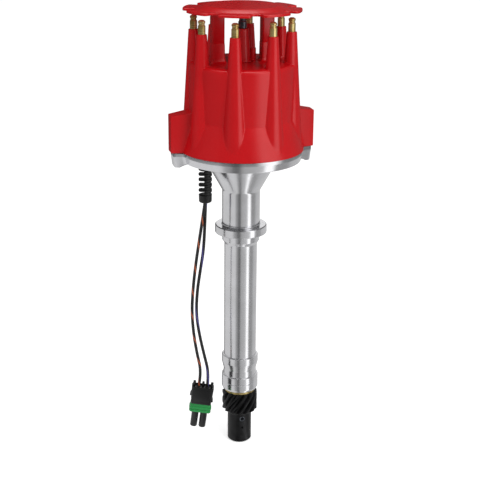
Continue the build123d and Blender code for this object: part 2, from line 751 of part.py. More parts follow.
# Rotor: disc on two posts, a hollow boss and the arm under the blade
with BuildPart() as rotor:
    with BuildSketch(Plane.XZ):
        with BuildLine():
            Polyline((0, rotor_disc_z), (rotor_disc_radius, rotor_disc_z),
                     (rotor_disc_radius, rotor_disc_z + rotor_disc_thickness),
                     (rotor_boss_foot_radius, rotor_disc_z + rotor_disc_thickness),
                     (rotor_boss_top_radius, rotor_blade_z), (0, rotor_blade_z), (0, rotor_disc_z))
        make_face()
    revolve(axis=Axis.Z)
    # Hollow of the boss, over the cam plate
    with BuildSketch(Plane.XZ):
        with BuildLine():
            Polyline((0, rotor_disc_z), (rotor_boss_foot_radius - 3.0, rotor_disc_z),
                     (rotor_boss_top_radius - 3.0, rotor_blade_z - 4.0), (0, rotor_blade_z - 4.0),
                     (0, rotor_disc_z))
        make_face()
    revolve(axis=Axis.Z, mode=Mode.SUBTRACT)
    # Arm under the blade, from the boss outward
    with BuildSketch(Plane.XZ):
        with BuildLine():
            Polyline((rotor_boss_top_radius - 3.0, rotor_blade_z), (rotor_tip_radius - 3.5, rotor_blade_z),
                     (rotor_tip_radius - 4.5, rotor_blade_z - 5.0),
                     (rotor_boss_foot_radius - 1.0, rotor_disc_z + rotor_disc_thickness),
                     (rotor_boss_foot_radius - 2.0, rotor_disc_z + rotor_disc_thickness),
                     (rotor_boss_top_radius - 3.0, rotor_blade_z))
        make_face()
    extrude(amount=rotor_blade_width / 2, both=True)
    # Posts that stand on the base plate, and their screw holes
    with BuildSketch(Plane.XY.offset(base_plate_top_z)):
        with Locations(rotor_post_a, rotor_post_b):
            Circle(rotor_post_radius)
    extrude(amount=rotor_disc_z - base_plate_top_z)
    with BuildSketch(Plane.XY.offset(base_plate_top_z)):
        with Locations(rotor_post_a, rotor_post_b):
            Circle(small_screw_radius + screw_gap)
    extrude(amount=rotor_disc_z + rotor_disc_thickness - base_plate_top_z, mode=Mode.SUBTRACT)
rotor.part.label = "rotor"
export_step(rotor.part, "parts/rotor.step")

with BuildPart() as rotor_blade:
    with BuildSketch(Plane.XY.offset(rotor_blade_z)):
        with Locations((rotor_tip_radius / 2 - 3.0, 0)):
            Rectangle(rotor_tip_radius + 6.0, rotor_blade_width)
    extrude(amount=rotor_blade_thickness)
rotor_blade.part.label = "rotor_blade"
export_step(rotor_blade.part, "parts/rotor_blade.step")

# Spring strip that presses up on the carbon button
blade_top_z = rotor_blade_z + rotor_blade_thickness
button_foot_z = blade_top_z + 2.4
contact_strip_root = 8.0
contact_strip_half = 3.0
contact_strip_thickness = 0.4
with BuildPart() as rotor_contact_spring:
    with BuildSketch(Plane.XZ):
        with BuildLine():
            Polyline((contact_strip_root, blade_top_z),
                     (contact_strip_root, blade_top_z + contact_strip_thickness),
                     (contact_strip_half, button_foot_z - 0.1), (-contact_strip_half, button_foot_z - 0.1),
                     (-contact_strip_half, button_foot_z - 0.1 - contact_strip_thickness),
                     (contact_strip_half - 0.2, button_foot_z - 0.1 - contact_strip_thickness),
                     (contact_strip_root - 0.6, blade_top_z), (contact_strip_root, blade_top_z))
        make_face()
    extrude(amount=2.5, both=True)
rotor_contact_spring.part.label = "rotor_contact_spring"
export_step(rotor_contact_spring.part, "parts/rotor_contact_spring.step")

with BuildPart() as rotor_screws:
    for post in (rotor_post_a, rotor_post_b):
        with Locations((post[0], post[1], base_plate_z)):
            Cylinder(small_screw_radius, rotor_disc_z + rotor_disc_thickness - base_plate_z,
                     align=(Align.CENTER, Align.CENTER, Align.MIN))
        with Locations((post[0], post[1], rotor_disc_z + rotor_disc_thickness)):
            Cylinder(small_head_radius, small_head_height,
                     align=(Align.CENTER, Align.CENTER, Align.MIN))
rotor_screws.part.label = "rotor_screws"
export_step(rotor_screws.part, "parts/rotor_screws.step")

# =============================================================================
# Magnetic pickup on the bowl's floor
# =============================================================================

# Steel bracket on the floor
with BuildPart() as pickup_bracket:
    with BuildSketch(pickup_plane):
        with Locations(((pole_radius + bracket_outer) / 2 + 1.5, 0)):
            RectangleRounded(bracket_outer - pole_radius - 3.0, bracket_width, 2.0)
        with Locations((pickup_screw_x, pickup_screw_y), (pickup_screw_x, -pickup_screw_y)):
            Circle(small_screw_radius + screw_gap, mode=Mode.SUBTRACT)
    extrude(amount=bracket_thickness)
pickup_bracket.part.label = "pickup_bracket"
export_step(pickup_bracket.part, "parts/pickup_bracket.step")

# Pole piece through the coil, from the magnet to the reluctor's paddles
with BuildPart() as pickup_pole:
    with BuildSketch(pickup_plane.offset(pickup_middle - pole_height / 2)):
        with Locations(((pole_radius + coil_outer) / 2, 0)):
            Rectangle(coil_outer - pole_radius, pole_width)
    extrude(amount=pole_height)
pickup_pole.part.label = "pickup_pole"
export_step(pickup_pole.part, "parts/pickup_pole.step")

# Potted coil round the pole piece
with BuildPart() as pickup_coil:
    with BuildSketch(pickup_plane.offset(bracket_thickness)):
        with Locations(((coil_inner + coil_outer) / 2, 0)):
            RectangleRounded(coil_length, coil_width, 1.5)
    extrude(amount=coil_height)
    with BuildSketch(pickup_plane.offset(pickup_middle - pole_height / 2 - pressed_gap)):
        with Locations(((pole_radius + coil_outer) / 2, 0)):
            Rectangle(coil_outer - pole_radius + 2, pole_width + 2 * pressed_gap)
    extrude(amount=pole_height + 2 * pressed_gap, mode=Mode.SUBTRACT)
pickup_coil.part.label = "pickup_coil"
export_step(pickup_coil.part, "parts/pickup_coil.step")

with BuildPart() as pickup_magnet:
    with BuildSketch(pickup_plane.offset(bracket_thickness)):
        with Locations((coil_outer + magnet_length / 2, 0)):
            Rectangle(magnet_length, coil_width - 4.0)
    extrude(amount=coil_height - 1.0)
pickup_magnet.part.label = "pickup_magnet"
export_step(pickup_magnet.part, "parts/pickup_magnet.step")

with BuildPart() as pickup_screws:
    for side in (-1, 1):
        with BuildSketch(pickup_plane.offset(-pickup_screw_depth)):
            with Locations((pickup_screw_x, side * pickup_screw_y)):
                Circle(small_screw_radius)
        extrude(amount=pickup_screw_depth + bracket_thickness)
        with BuildSketch(pickup_plane.offset(bracket_thickness)):
            with Locations((pickup_screw_x, side * pickup_screw_y)):
                Circle(small_head_radius)
        extrude(amount=small_head_height)
pickup_screws.part.label = "pickup_screws"
export_step(pickup_screws.part, "parts/pickup_screws.step")

# =============================================================================
# Strain relief, lead and connector
# =============================================================================

# Moulded boot through the flange: fins on one side, a spine with shallow notches on the other
relief_foot_z = flange_foot_z - relief_length
relief_collar_top_z = relief_foot_z + relief_collar_length
relief_plane = Plane(origin=(relief_x, relief_y, 0), x_dir=(*polar(1, relief_heading), 0), z_dir=(0, 0, 1))

with BuildPart() as strain_relief:
    with BuildSketch(relief_plane.offset(relief_foot_z)):
        Circle(relief_collar_radius)
    extrude(amount=relief_collar_length)
    chamfer(strain_relief.edges().filter_by(GeomType.CIRCLE).group_by(Axis.Z)[0], length=1.0)
    with BuildSketch(relief_plane.offset(relief_collar_top_z)):
        Circle(relief_radius)
    extrude(amount=relief_length - relief_collar_length)
    with BuildSketch(relief_plane.offset(flange_foot_z)):
        Circle(relief_neck_radius)
    extrude(amount=bowl_floor + 0.1)
    with BuildSketch(relief_plane.offset(bowl_floor_z + 0.1)):
        Circle(relief_neck_radius + 1.4)
    extrude(amount=1.6)
    for slot in range(relief_fin_count + 1):
        slot_z = relief_collar_top_z + slot * relief_fin_pitch
        with BuildSketch(relief_plane.offset(slot_z)):
            with Locations((-relief_radius, 0)):
                Rectangle(2 * relief_radius * 0.86, 3 * relief_radius)
        extrude(amount=relief_slot, mode=Mode.SUBTRACT)
        if slot < relief_fin_count:
            with BuildSketch(relief_plane.offset(slot_z + relief_fin_pitch / 2 + relief_slot / 2 - 0.6)):
                with Locations((relief_radius, 0)):
                    Rectangle(1.4, 3 * relief_radius)
            extrude(amount=1.2, mode=Mode.SUBTRACT)
    # Narrow fins: what lies beside them is taken away down to the spine
    with BuildSketch(relief_plane.offset(relief_collar_top_z)):
        for side in (-1, 1):
            with Locations((-relief_radius, side * (relief_fin_width / 2 + relief_radius))):
                Rectangle(2 * relief_radius * 0.86, 2 * relief_radius)
    extrude(amount=relief_fin_count * relief_fin_pitch + relief_slot, mode=Mode.SUBTRACT)
strain_relief.part.label = "strain_relief"
export_step(strain_relief.part, "parts/strain_relief.step")

connector_plane = Plane(origin=(connector_x, connector_y, connector_z), x_dir=(0.9603, -0.2483, -0.1274),
                        z_dir=(-0.1234, 0.0319, -0.9918))


def wire_end(side):
    """Where a wire meets its seal, on one side of the connector's middle."""
    place = connector_plane.from_local_coords(Vector(side * connector_pitch / 2, 0, 0))
    return (place.X, place.Y, place.Z)


def lead_path(points):
    """Straight runs joined by tangent arcs, each as large as its two runs allow."""
    corners = [Vector(*point) for point in points]
    radii = []
    for before, corner, after in zip(corners, corners[1:], corners[2:]):
        run_in = corner - before
        run_out = after - corner
        turn = run_in.get_angle(run_out)
        radii.append(0.45 * min(run_in.length, run_out.length) / tan(radians(turn / 2)))
    return FilletPolyline(*points, radius=radii), radii


def lead_wire(name, points):
    """Round tube along one wire's route."""
    with BuildPart() as wire:
        with BuildLine() as path:
            route, radii = lead_path(points)
        centre_line = path.wire()
        with BuildSketch(Plane(origin=points[0], z_dir=centre_line % 0)):
            Circle(wire_radius)
        sweep(path=centre_line)
    ideal_volume = pi * wire_radius ** 2 * centre_line.length
    print(name, "length", round(centre_line.length, 1), "radii", [round(radius) for radius in radii],
          "volume ratio", round(wire.part.volume / ideal_volume, 4))
    return wire.part


with BuildPart() as lead_wire_orange:
    add(lead_wire("lead_wire_orange", wire_orange_route + [wire_end(-1)]))
lead_wire_orange.part.label = "lead_wire_orange"
export_step(lead_wire_orange.part, "parts/lead_wire_orange.step")

with BuildPart() as lead_wire_violet:
    add(lead_wire("lead_wire_violet", wire_violet_route + [wire_end(1)]))
lead_wire_violet.part.label = "lead_wire_violet"
export_step(lead_wire_violet.part, "parts/lead_wire_violet.step")

# Sealed two-way connector: body, core inside the ribbed seal, and two towers
seal_foot = connector_height
seal_end = seal_foot + seal_band_height
core_width = connector_width - 4.0
core_depth = connector_depth - 3.4
wire_seal_radius = 2.3

with BuildPart() as connector_body:
    with BuildSketch(connector_plane):
        RectangleRounded(connector_width, connector_depth, 1.6)
    extrude(amount=connector_height)
    with BuildSketch(connector_plane.offset(connector_height)):
        RectangleRounded(core_width, core_depth, 1.6)
    extrude(amount=seal_band_height)
    with BuildSketch(connector_plane.offset(seal_end)):
        with Locations((connector_pitch / 2, 0), (-connector_pitch / 2, 0)):
            Circle(connector_tower_radius)
    extrude(amount=connector_tower_length)
    # Cavities from front to back
    with BuildSketch(connector_plane.offset(seal_end + connector_tower_length)):
        with Locations((connector_pitch / 2, 0), (-connector_pitch / 2, 0)):
            Circle(connector_tower_radius - 1.1)
    extrude(amount=-connector_tower_length - seal_band_height, mode=Mode.SUBTRACT)
    with BuildSketch(connector_plane):
        with Locations((connector_pitch / 2, 0), (-connector_pitch / 2, 0)):
            Circle(wire_seal_radius + pressed_gap)
    extrude(amount=6.0, mode=Mode.SUBTRACT)
    # Latch ramps on the two narrow sides
    for side, start in ((-1, 6.0), (1, 10.5)):
        with BuildSketch(connector_plane.offset(start)):
            with Locations((side * connector_width / 2, 0)):
                Rectangle(2.0, 4.0)
        extrude(amount=4.0)
    # Three posts beside the wires
    for place, radius in ((-post_pitch, 0.95), (0, 0.8), (post_pitch, 0.95)):
        with BuildSketch(connector_plane):
            with Locations((place, 0)):
                Circle(radius)
        extrude(amount=-post_height)
connector_body.part.label = "connector_body"
export_step(connector_body.part, "parts/connector_body.step")

with BuildPart() as connector_seal:
    with BuildSketch(connector_plane.offset(seal_foot)):
        RectangleRounded(connector_width - 1.4, connector_depth - 1.0, 2.0)
        RectangleRounded(core_width + 2 * pressed_gap, core_depth + 2 * pressed_gap, 1.6, mode=Mode.SUBTRACT)
    extrude(amount=seal_band_height)
    rib_pitch = seal_band_height / seal_ribs
    for rib in range(seal_ribs):
        with BuildSketch(connector_plane.offset(seal_foot + rib * rib_pitch + 0.5)):
            RectangleRounded(connector_width, connector_depth + 0.4, 2.2)
            RectangleRounded(core_width + 2, core_depth + 2, 1.6, mode=Mode.SUBTRACT)
        extrude(amount=rib_pitch - 1.0)
connector_seal.part.label = "connector_seal"
export_step(connector_seal.part, "parts/connector_seal.step")

with BuildPart() as connector_wire_seals:
    with BuildSketch(connector_plane):
        with Locations((connector_pitch / 2, 0), (-connector_pitch / 2, 0)):
            Circle(wire_seal_radius)
    extrude(amount=5.8)
connector_wire_seals.part.label = "connector_wire_seals"
export_step(connector_wire_seals.part, "parts/connector_wire_seals.step")

with BuildPart() as connector_terminals:
    with BuildSketch(connector_plane.offset(seal_foot + 0.1)):
        with Locations((connector_pitch / 2, 0), (-connector_pitch / 2, 0)):
            Circle(connector_tower_radius - 1.1 - pressed_gap)
            Circle(0.8, mode=Mode.SUBTRACT)
    extrude(amount=seal_band_height + connector_tower_length - 2.0)
connector_terminals.part.label = "connector_terminals"
export_step(connector_terminals.part, "parts/connector_terminals.step")

# =============================================================================
# Cap, its terminals and the wire retainer
# =============================================================================

tower_height = tower_top_z - tower_foot_z
coil_bore_radius = button_radius + 0.1
coil_shelf_z = cap_ceiling_z + 10.0

with BuildPart() as cap:
    with BuildSketch(Plane.XZ):
        with BuildLine():
            Polyline((0, flange_top_z), (cap_foot_radius, flange_top_z),
                     (cap_foot_radius, flange_top_z + cap_lip_height), (cap_body_radius, cap_crease_z),
                     (cap_body_radius, cap_deck_z), (0, cap_deck_z), (0, flange_top_z))
        make_face()
    revolve(axis=Axis.Z)
    fillet(cap.edges().filter_by(GeomType.CIRCLE).group_by(Axis.Z)[-1], radius=cap_shoulder)
    # Hold-down ears, with a top that slopes outward
    with BuildSketch(Plane.XY.offset(flange_top_z)):
        add(ear_outline(cap_ear_end_x, ear_end_width, ear_corner))
        add(ear_outline(cap_ear_end_x, ear_end_width, ear_corner).rotate(Axis.Z, 180))
    extrude(amount=cap_ear_top_z - flange_top_z + 6.0)
    ear_rise = (cap_ear_end_x - cap_inner_radius) * tan(radians(cap_ear_slope))
    for side in (-1, 1):
        with BuildSketch(Plane.XZ):
            with BuildLine():
                Polyline((side * (cap_ear_end_x + 1), cap_ear_top_z),
                         (side * cap_inner_radius, cap_ear_top_z + ear_rise),
                         (side * cap_inner_radius, cap_ear_top_z + 12), (side * (cap_ear_end_x + 1), cap_ear_top_z + 12),
                         (side * (cap_ear_end_x + 1), cap_ear_top_z))
            make_face()
        extrude(amount=16.0, both=True, mode=Mode.SUBTRACT)
    # Body again over the cut, then the towers
    with BuildSketch(Plane.XY.offset(cap_crease_z)):
        Circle(cap_body_radius)
    extrude(amount=cap_deck_z - cap_shoulder - cap_crease_z)
    with Locations(Plane.XY.offset(tower_foot_z)):
        with PolarLocations(tower_circle_radius, tower_count, start_angle=tower_start_angle):
            Cone(bottom_radius=tower_radius_at(tower_top_radius, tower_top_z, tower_foot_z),
                 top_radius=tower_top_radius, height=tower_height,
                 align=(Align.CENTER, Align.CENTER, Align.MIN))
    with Locations((0, 0, cap_ceiling_z)):
        Cone(bottom_radius=tower_radius_at(coil_tower_top_radius, coil_tower_top_z, cap_ceiling_z),
             top_radius=coil_tower_top_radius, height=coil_tower_top_z - cap_ceiling_z,
             align=(Align.CENTER, Align.CENTER, Align.MIN))
    # Small vent boss and the two pedestals of the wire retainer
    with BuildSketch(Plane.XY.offset(cap_ceiling_z)):
        with Locations((vent_boss_x, vent_boss_y)):
            Circle(vent_boss_radius)
    extrude(amount=cap_deck_z - cap_ceiling_z + vent_boss_height)
    with BuildSketch(Plane.XY.offset(cap_ceiling_z)):
        with Locations((pedestal_x, 0), (-pedestal_x, 0)):
            RectangleRounded(leg_width + pedestal_growth, leg_width + pedestal_growth, leg_edge)
    extrude(amount=pedestal_top_z - cap_ceiling_z, taper=1.0)
    # Inside
    with BuildSketch(Plane.XZ):
        with BuildLine():
            Polyline((0, flange_top_z - 1), (cap_foot_radius - cap_wall, flange_top_z - 1),
                     (cap_foot_radius - cap_wall, flange_top_z + cap_lip_height),
                     (cap_inner_radius, cap_crease_z), (cap_inner_radius, cap_ceiling_z),
                     (0, cap_ceiling_z), (0, flange_top_z - 1))
        make_face()
    revolve(axis=Axis.Z, mode=Mode.SUBTRACT)
    # Bores for the terminals and the carbon button
    with BuildSketch(Plane.XY.offset(cap_ceiling_z - 1)):
        with PolarLocations(tower_circle_radius, tower_count, start_angle=tower_start_angle):
            Circle(terminal_shank_radius + pressed_gap)
        Circle(coil_bore_radius)
    extrude(amount=highest_tower_z - cap_ceiling_z + 2, mode=Mode.SUBTRACT)
    # Sockets for the retainer's pegs
    with BuildSketch(Plane.XY.offset(pedestal_top_z)):
        with Locations((pedestal_x, 0), (-pedestal_x, 0)):
            Circle(peg_radius + pressed_gap)
    extrude(amount=-peg_length - 0.3, mode=Mode.SUBTRACT)
    # Holes and deep counterbores for the hold-down screws
    with BuildSketch(Plane.XY.offset(flange_top_z - 1)):
        with Locations((hold_down_x, 0), (-hold_down_x, 0)):
            Circle(hold_down_screw_radius + screw_gap)
    extrude(amount=40.0, mode=Mode.SUBTRACT)
    with BuildSketch(Plane.XY.offset(hold_down_seat_z)):
        with Locations((hold_down_x, 0), (-hold_down_x, 0)):
            Circle(hold_down_head_radius + screw_gap)
    extrude(amount=20.0, mode=Mode.SUBTRACT)
cap.part.label = "cap"
export_step(cap.part, "parts/cap.step")

# One plug terminal: shank moulded in the tower, waisted head above it, contact at its foot
with BuildPart() as plug_terminal:
    with BuildSketch(Plane.XZ):
        with BuildLine():
            outline = Polyline(
                (0, cap_ceiling_z), (terminal_shank_radius, cap_ceiling_z),
                (terminal_shank_radius, tower_top_z), (terminal_base_radius, tower_top_z),
                (terminal_base_radius, tower_top_z + terminal_base_height),
                (terminal_waist_radius, tower_top_z + terminal_waist_foot),
                (terminal_waist_radius, tower_top_z + terminal_waist_top),
                (terminal_head_radius, tower_top_z + terminal_head_foot))
            head = Spline(outline @ 1, (terminal_head_radius * 0.86, tower_top_z + terminal_head_round),
                          (0, tower_top_z + terminal_height), tangents=((0, 1), (-1, 0)))
            Line(head @ 1, (0, cap_ceiling_z))
        make_face()
    revolve(axis=Axis.Z)
    with BuildSketch(Plane.XY.offset(cap_ceiling_z)):
        with Locations((contact_circle_radius - tower_circle_radius, 0)):
            Circle(contact_radius)
    extrude(amount=-contact_length)

with BuildPart() as cap_terminals:
    with PolarLocations(tower_circle_radius, tower_count, start_angle=tower_start_angle):
        add(plug_terminal.part)
cap_terminals.part.label = "cap_terminals"
export_step(cap_terminals.part, "parts/cap_terminals.step")

coil_base_radius = terminal_base_radius + coil_terminal_growth
coil_waist_radius = terminal_waist_radius + coil_terminal_growth
coil_head_radius = terminal_head_radius + coil_terminal_growth
coil_head_chamfer = 1.4
coil_terminal_top_z = coil_tower_top_z + terminal_height
with BuildPart() as coil_terminal:
    with BuildSketch(Plane.XZ):
        with BuildLine():
            Polyline(
                (0, coil_shelf_z), (button_radius, coil_shelf_z), (button_radius, coil_tower_top_z),
                (coil_base_radius, coil_tower_top_z),
                (coil_base_radius, coil_tower_top_z + terminal_base_height - 1.0),
                (coil_waist_radius, coil_tower_top_z + terminal_waist_foot - 1.0),
                (coil_waist_radius, coil_tower_top_z + terminal_waist_top - 1.0),
                (coil_head_radius, coil_tower_top_z + terminal_head_foot - 0.8),
                (coil_head_radius, coil_terminal_top_z - coil_head_chamfer),
                (coil_head_radius - coil_head_chamfer, coil_terminal_top_z),
                (0, coil_terminal_top_z), (0, coil_shelf_z))
        make_face()
    revolve(axis=Axis.Z)
coil_terminal.part.label = "coil_terminal"
export_step(coil_terminal.part, "parts/coil_terminal.step")

# Carbon button and the spring above it
with BuildPart() as carbon_button:
    with Locations((0, 0, button_foot_z)):
        Cylinder(button_radius, cap_ceiling_z + 3.0 - button_foot_z,
                 align=(Align.CENTER, Align.CENTER, Align.MIN))
    fillet(carbon_button.edges().filter_by(GeomType.CIRCLE).group_by(Axis.Z)[0], radius=1.2)
carbon_button.part.label = "carbon_button"
export_step(carbon_button.part, "parts/carbon_button.step")

button_spring_wire = 0.35
button_spring_radius = 1.9
button_spring_turns = 4
button_spring_foot_z = cap_ceiling_z + 3.0 + button_spring_wire
button_spring_length = coil_shelf_z - button_spring_wire - button_spring_foot_z
with BuildPart() as carbon_button_spring:
    with BuildLine() as button_coil:
        Helix(pitch=button_spring_length / button_spring_turns, height=button_spring_length,
              radius=button_spring_radius, center=(0, 0, button_spring_foot_z))
    with BuildSketch(Plane(origin=button_coil.line @ 0, z_dir=button_coil.line % 0)):
        RegularPolygon(radius=button_spring_wire, side_count=6)
    sweep(path=button_coil.line)
carbon_button_spring.part.label = "carbon_button_spring"
export_step(carbon_button_spring.part, "parts/carbon_button_spring.step")

# Wire retainer: eight petals round a low crown, on two legs with pegs
with BuildPart() as wire_retainer:
    with BuildSketch(Plane.XY.offset(petal_foot_z)) as petals:
        Circle(petal_radius)
        with PolarLocations(scallop_circle_radius, tower_count):
            Circle(scallop_radius, mode=Mode.SUBTRACT)
        with PolarLocations((scallop_circle_radius + petal_radius + 1) / 2, tower_count):
            Rectangle(petal_radius + 1 - scallop_circle_radius, 2 * scallop_radius, mode=Mode.SUBTRACT)
        rim = petals.vertices().filter_by(
            lambda corner: abs(sqrt(corner.X ** 2 + corner.Y ** 2) - petal_radius) < 0.5)
        fillet(rim, radius=petal_corner)
    extrude(amount=petal_thickness)
    with BuildSketch(Plane.XZ):
        with BuildLine():
            Polyline((0, petal_foot_z), (crown_top_radius, petal_foot_z),
                     (crown_foot_radius - 1, petal_foot_z + petal_thickness),
                     (crown_top_radius, retainer_top_z), (0, retainer_top_z), (0, petal_foot_z))
        make_face()
    revolve(axis=Axis.Z)
    with BuildSketch(Plane.XY.offset(petal_foot_z)):
        Circle(crown_top_radius - 2.5)
    extrude(amount=crown_height, mode=Mode.SUBTRACT)
    with BuildSketch(Plane.XY.offset(pedestal_top_z)):
        with Locations((pedestal_x, 0), (-pedestal_x, 0)):
            RectangleRounded(leg_width, leg_width, leg_edge)
    extrude(amount=petal_foot_z + crown_height + 0.5 - pedestal_top_z)
    with BuildSketch(Plane.XY.offset(pedestal_top_z)):
        with Locations((pedestal_x, 0), (-pedestal_x, 0)):
            Circle(peg_radius)
    extrude(amount=-peg_length)
wire_retainer.part.label = "wire_retainer"
export_step(wire_retainer.part, "parts/wire_retainer.step")

# Long screws that hold the cap's ears on the housing's ears
with BuildPart() as cap_screws:
    for side in (-1, 1):
        with Locations((side * hold_down_x, 0, flange_foot_z + 1.0)):
            Cylinder(hold_down_screw_radius, hold_down_seat_z - flange_foot_z - 1.0,
                     align=(Align.CENTER, Align.CENTER, Align.MIN))
        with Locations((side * hold_down_x, 0, hold_down_seat_z)):
            Cylinder(hold_down_head_radius, hold_down_head_height,
                     align=(Align.CENTER, Align.CENTER, Align.MIN))
    with Locations((hold_down_x, 0, hold_down_seat_z + hold_down_head_height),
                   (-hold_down_x, 0, hold_down_seat_z + hold_down_head_height)):
        Box(1.2, 2 * hold_down_head_radius + 1, 2.4, mode=Mode.SUBTRACT)
cap_screws.part.label = "cap_screws"
export_step(cap_screws.part, "parts/cap_screws.step")
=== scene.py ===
import bmesh
import bpy
import numpy as np
from mathutils import Matrix, Vector


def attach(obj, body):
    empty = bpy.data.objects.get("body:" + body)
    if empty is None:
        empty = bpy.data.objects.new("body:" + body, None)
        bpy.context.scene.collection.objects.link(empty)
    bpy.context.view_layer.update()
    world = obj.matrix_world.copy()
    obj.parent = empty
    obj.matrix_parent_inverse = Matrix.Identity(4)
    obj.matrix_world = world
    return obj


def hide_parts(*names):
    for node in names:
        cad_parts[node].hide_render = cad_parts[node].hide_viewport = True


# Looks of the ignition distributor: turned aluminium, red moulded cap and wire retainer, brass
# plug terminals, phosphated gear and a two-wire lead. Shapes are worked out in millimetres, in
# the frame's axes: Z is the shaft's axis, z = 0 the underside of the collar.

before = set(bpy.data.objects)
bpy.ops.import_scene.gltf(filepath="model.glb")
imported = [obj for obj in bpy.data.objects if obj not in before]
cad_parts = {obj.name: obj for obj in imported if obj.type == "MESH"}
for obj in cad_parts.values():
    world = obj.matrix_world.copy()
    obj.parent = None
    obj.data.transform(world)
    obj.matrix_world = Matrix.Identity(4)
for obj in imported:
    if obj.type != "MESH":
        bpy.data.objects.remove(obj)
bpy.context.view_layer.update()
scene = bpy.context.scene
MM = 0.001

# ---- Camera: azimuth -14.5 degrees, 945 mm from the axis, looking 18.8 degrees down ----
CAMERA_AZIMUTH = np.radians(-14.5)
CAMERA_DISTANCE = 945.0
CAMERA_HEIGHT = 313.8
CAMERA_PITCH = np.radians(18.8)
CAMERA_ROLL = np.radians(0.45)
FOCAL_PIXELS = 1150.0
IMAGE_PIXELS = 480.0
AXIS_PIXEL_X = 240.75        # where the camera's own axis meets the picture
SENSOR_WIDTH = 36.0


def new_object(name, data):
    """Object of the data, in the scene."""
    item = bpy.data.objects.new(name, data)
    scene.collection.objects.link(item)
    return item


def make_camera():
    """Camera on a level arm round the Z axis, pitched down and rolled a little."""
    data = bpy.data.cameras.new("studio_camera")
    data.sensor_width = SENSOR_WIDTH
    data.lens = FOCAL_PIXELS / IMAGE_PIXELS * SENSOR_WIDTH
    data.shift_x = (IMAGE_PIXELS / 2 - AXIS_PIXEL_X) / IMAGE_PIXELS
    data.clip_start = 0.02
    data.clip_end = 20.0
    camera = new_object("studio_camera", data)
    away = np.array([np.sin(CAMERA_AZIMUTH), -np.cos(CAMERA_AZIMUTH), 0.0])
    place = away * CAMERA_DISTANCE + np.array([0, 0, CAMERA_HEIGHT])
    forward = -away * np.cos(CAMERA_PITCH) - np.array([0, 0, np.sin(CAMERA_PITCH)])
    right = np.array([np.cos(CAMERA_AZIMUTH), np.sin(CAMERA_AZIMUTH), 0.0])
    up = np.cross(right, forward)
    rolled_right = right * np.cos(CAMERA_ROLL) + up * np.sin(CAMERA_ROLL)
    rolled_up = up * np.cos(CAMERA_ROLL) - right * np.sin(CAMERA_ROLL)
    turn = Matrix((rolled_right, rolled_up, -forward)).transposed().to_4x4()
    camera.matrix_world = Matrix.Translation(Vector(place * MM)) @ turn
    scene.camera = camera


# ---- Materials ----

PLASTIC_IOR = 1.5
GRAIN_DEPTH = 0.01 * MM


def linear(hex_colour):
    """sRGB hex string to linear RGBA."""
    channels = np.array([int(hex_colour[i:i + 2], 16) for i in (1, 3, 5)]) / 255
    straight = np.where(channels <= 0.04045, channels / 12.92, ((channels + 0.055) / 1.055) ** 2.4)
    return (*straight.tolist(), 1.0)


def add_node(tree, kind, settings=None, links=None):
    """One node: its attributes and socket values from settings, and links as {input: output}."""
    node = tree.nodes.new("ShaderNode" + kind)
    for key, value in (settings or {}).items():
        if isinstance(key, str) and hasattr(node, key):
            setattr(node, key, value)
        else:
            node.inputs[key].default_value = value
    for socket, source in (links or {}).items():
        tree.links.new(source, node.inputs[socket])
    return node


def new_material(name, **shader):
    """Material with one Principled shader; keywords are its sockets with _ for space."""
    material = bpy.data.materials.new(name)
    material.use_nodes = True
    tree = material.node_tree
    bsdf = tree.nodes["Principled BSDF"]
    for key, value in shader.items():
        bsdf.inputs[key.replace("_", " ")].default_value = value
    place = add_node(tree, "TexCoord").outputs["Object"]
    return material, tree, bsdf, place


def two_shades(tree, value, low, high, dark, light):
    """Mix that goes from the dark to the light shade while a value goes from low to high."""
    share = add_node(tree, "MapRange", {"From Min": low, "From Max": high},
                     {"Value": value})
    return add_node(tree, "Mix",
                    {"data_type": "RGBA", 6: linear(dark), 7: linear(light)},
                    {0: share.outputs["Result"]})


def link_shader(tree, bsdf, colour, grain, roughness, spread, bump):
    """Feeds the shader a colour, a roughness that a grain moves within a spread, and a bump."""
    gloss = add_node(tree, "Math",
                     {"operation": "MULTIPLY_ADD", 1: spread, 2: roughness - spread / 2},
                     {0: grain.outputs["Fac"]})
    tree.links.new(colour.outputs[2], bsdf.inputs["Base Color"])
    tree.links.new(gloss.outputs[0], bsdf.inputs["Roughness"])
    tree.links.new(bump.outputs["Normal"], bsdf.inputs["Normal"])


def turned_metal(name, dark, light, roughness, ring_mm, stain_mm, ring_depth_mm, metallic=1.0):
    """Metal turned in a lathe: rings across Z ripple it and vary its gloss, and a thin uneven
    oxide film moves its colour between two shades."""
    material, tree, bsdf, place = new_material(name, Metallic=metallic)
    across = add_node(tree, "Mapping", {"Scale": (0.02, 0.02, 1.0)}, {"Vector": place})
    rings = add_node(tree, "TexNoise", {"Scale": 1000 / ring_mm, "Detail": 2.0},
                     {"Vector": across.outputs["Vector"]})
    stain = add_node(tree, "TexNoise", {"Scale": 1000 / stain_mm, "Detail": 5.0},
                     {"Vector": place})
    film = two_shades(tree, stain.outputs["Fac"], 0.35, 0.65, dark, light)
    ripple = add_node(tree, "Bump", {"Distance": ring_depth_mm * MM, "Strength": 0.4},
                      {"Height": rings.outputs["Fac"]})
    link_shader(tree, bsdf, film, rings, roughness, 0.16, ripple)
    return material


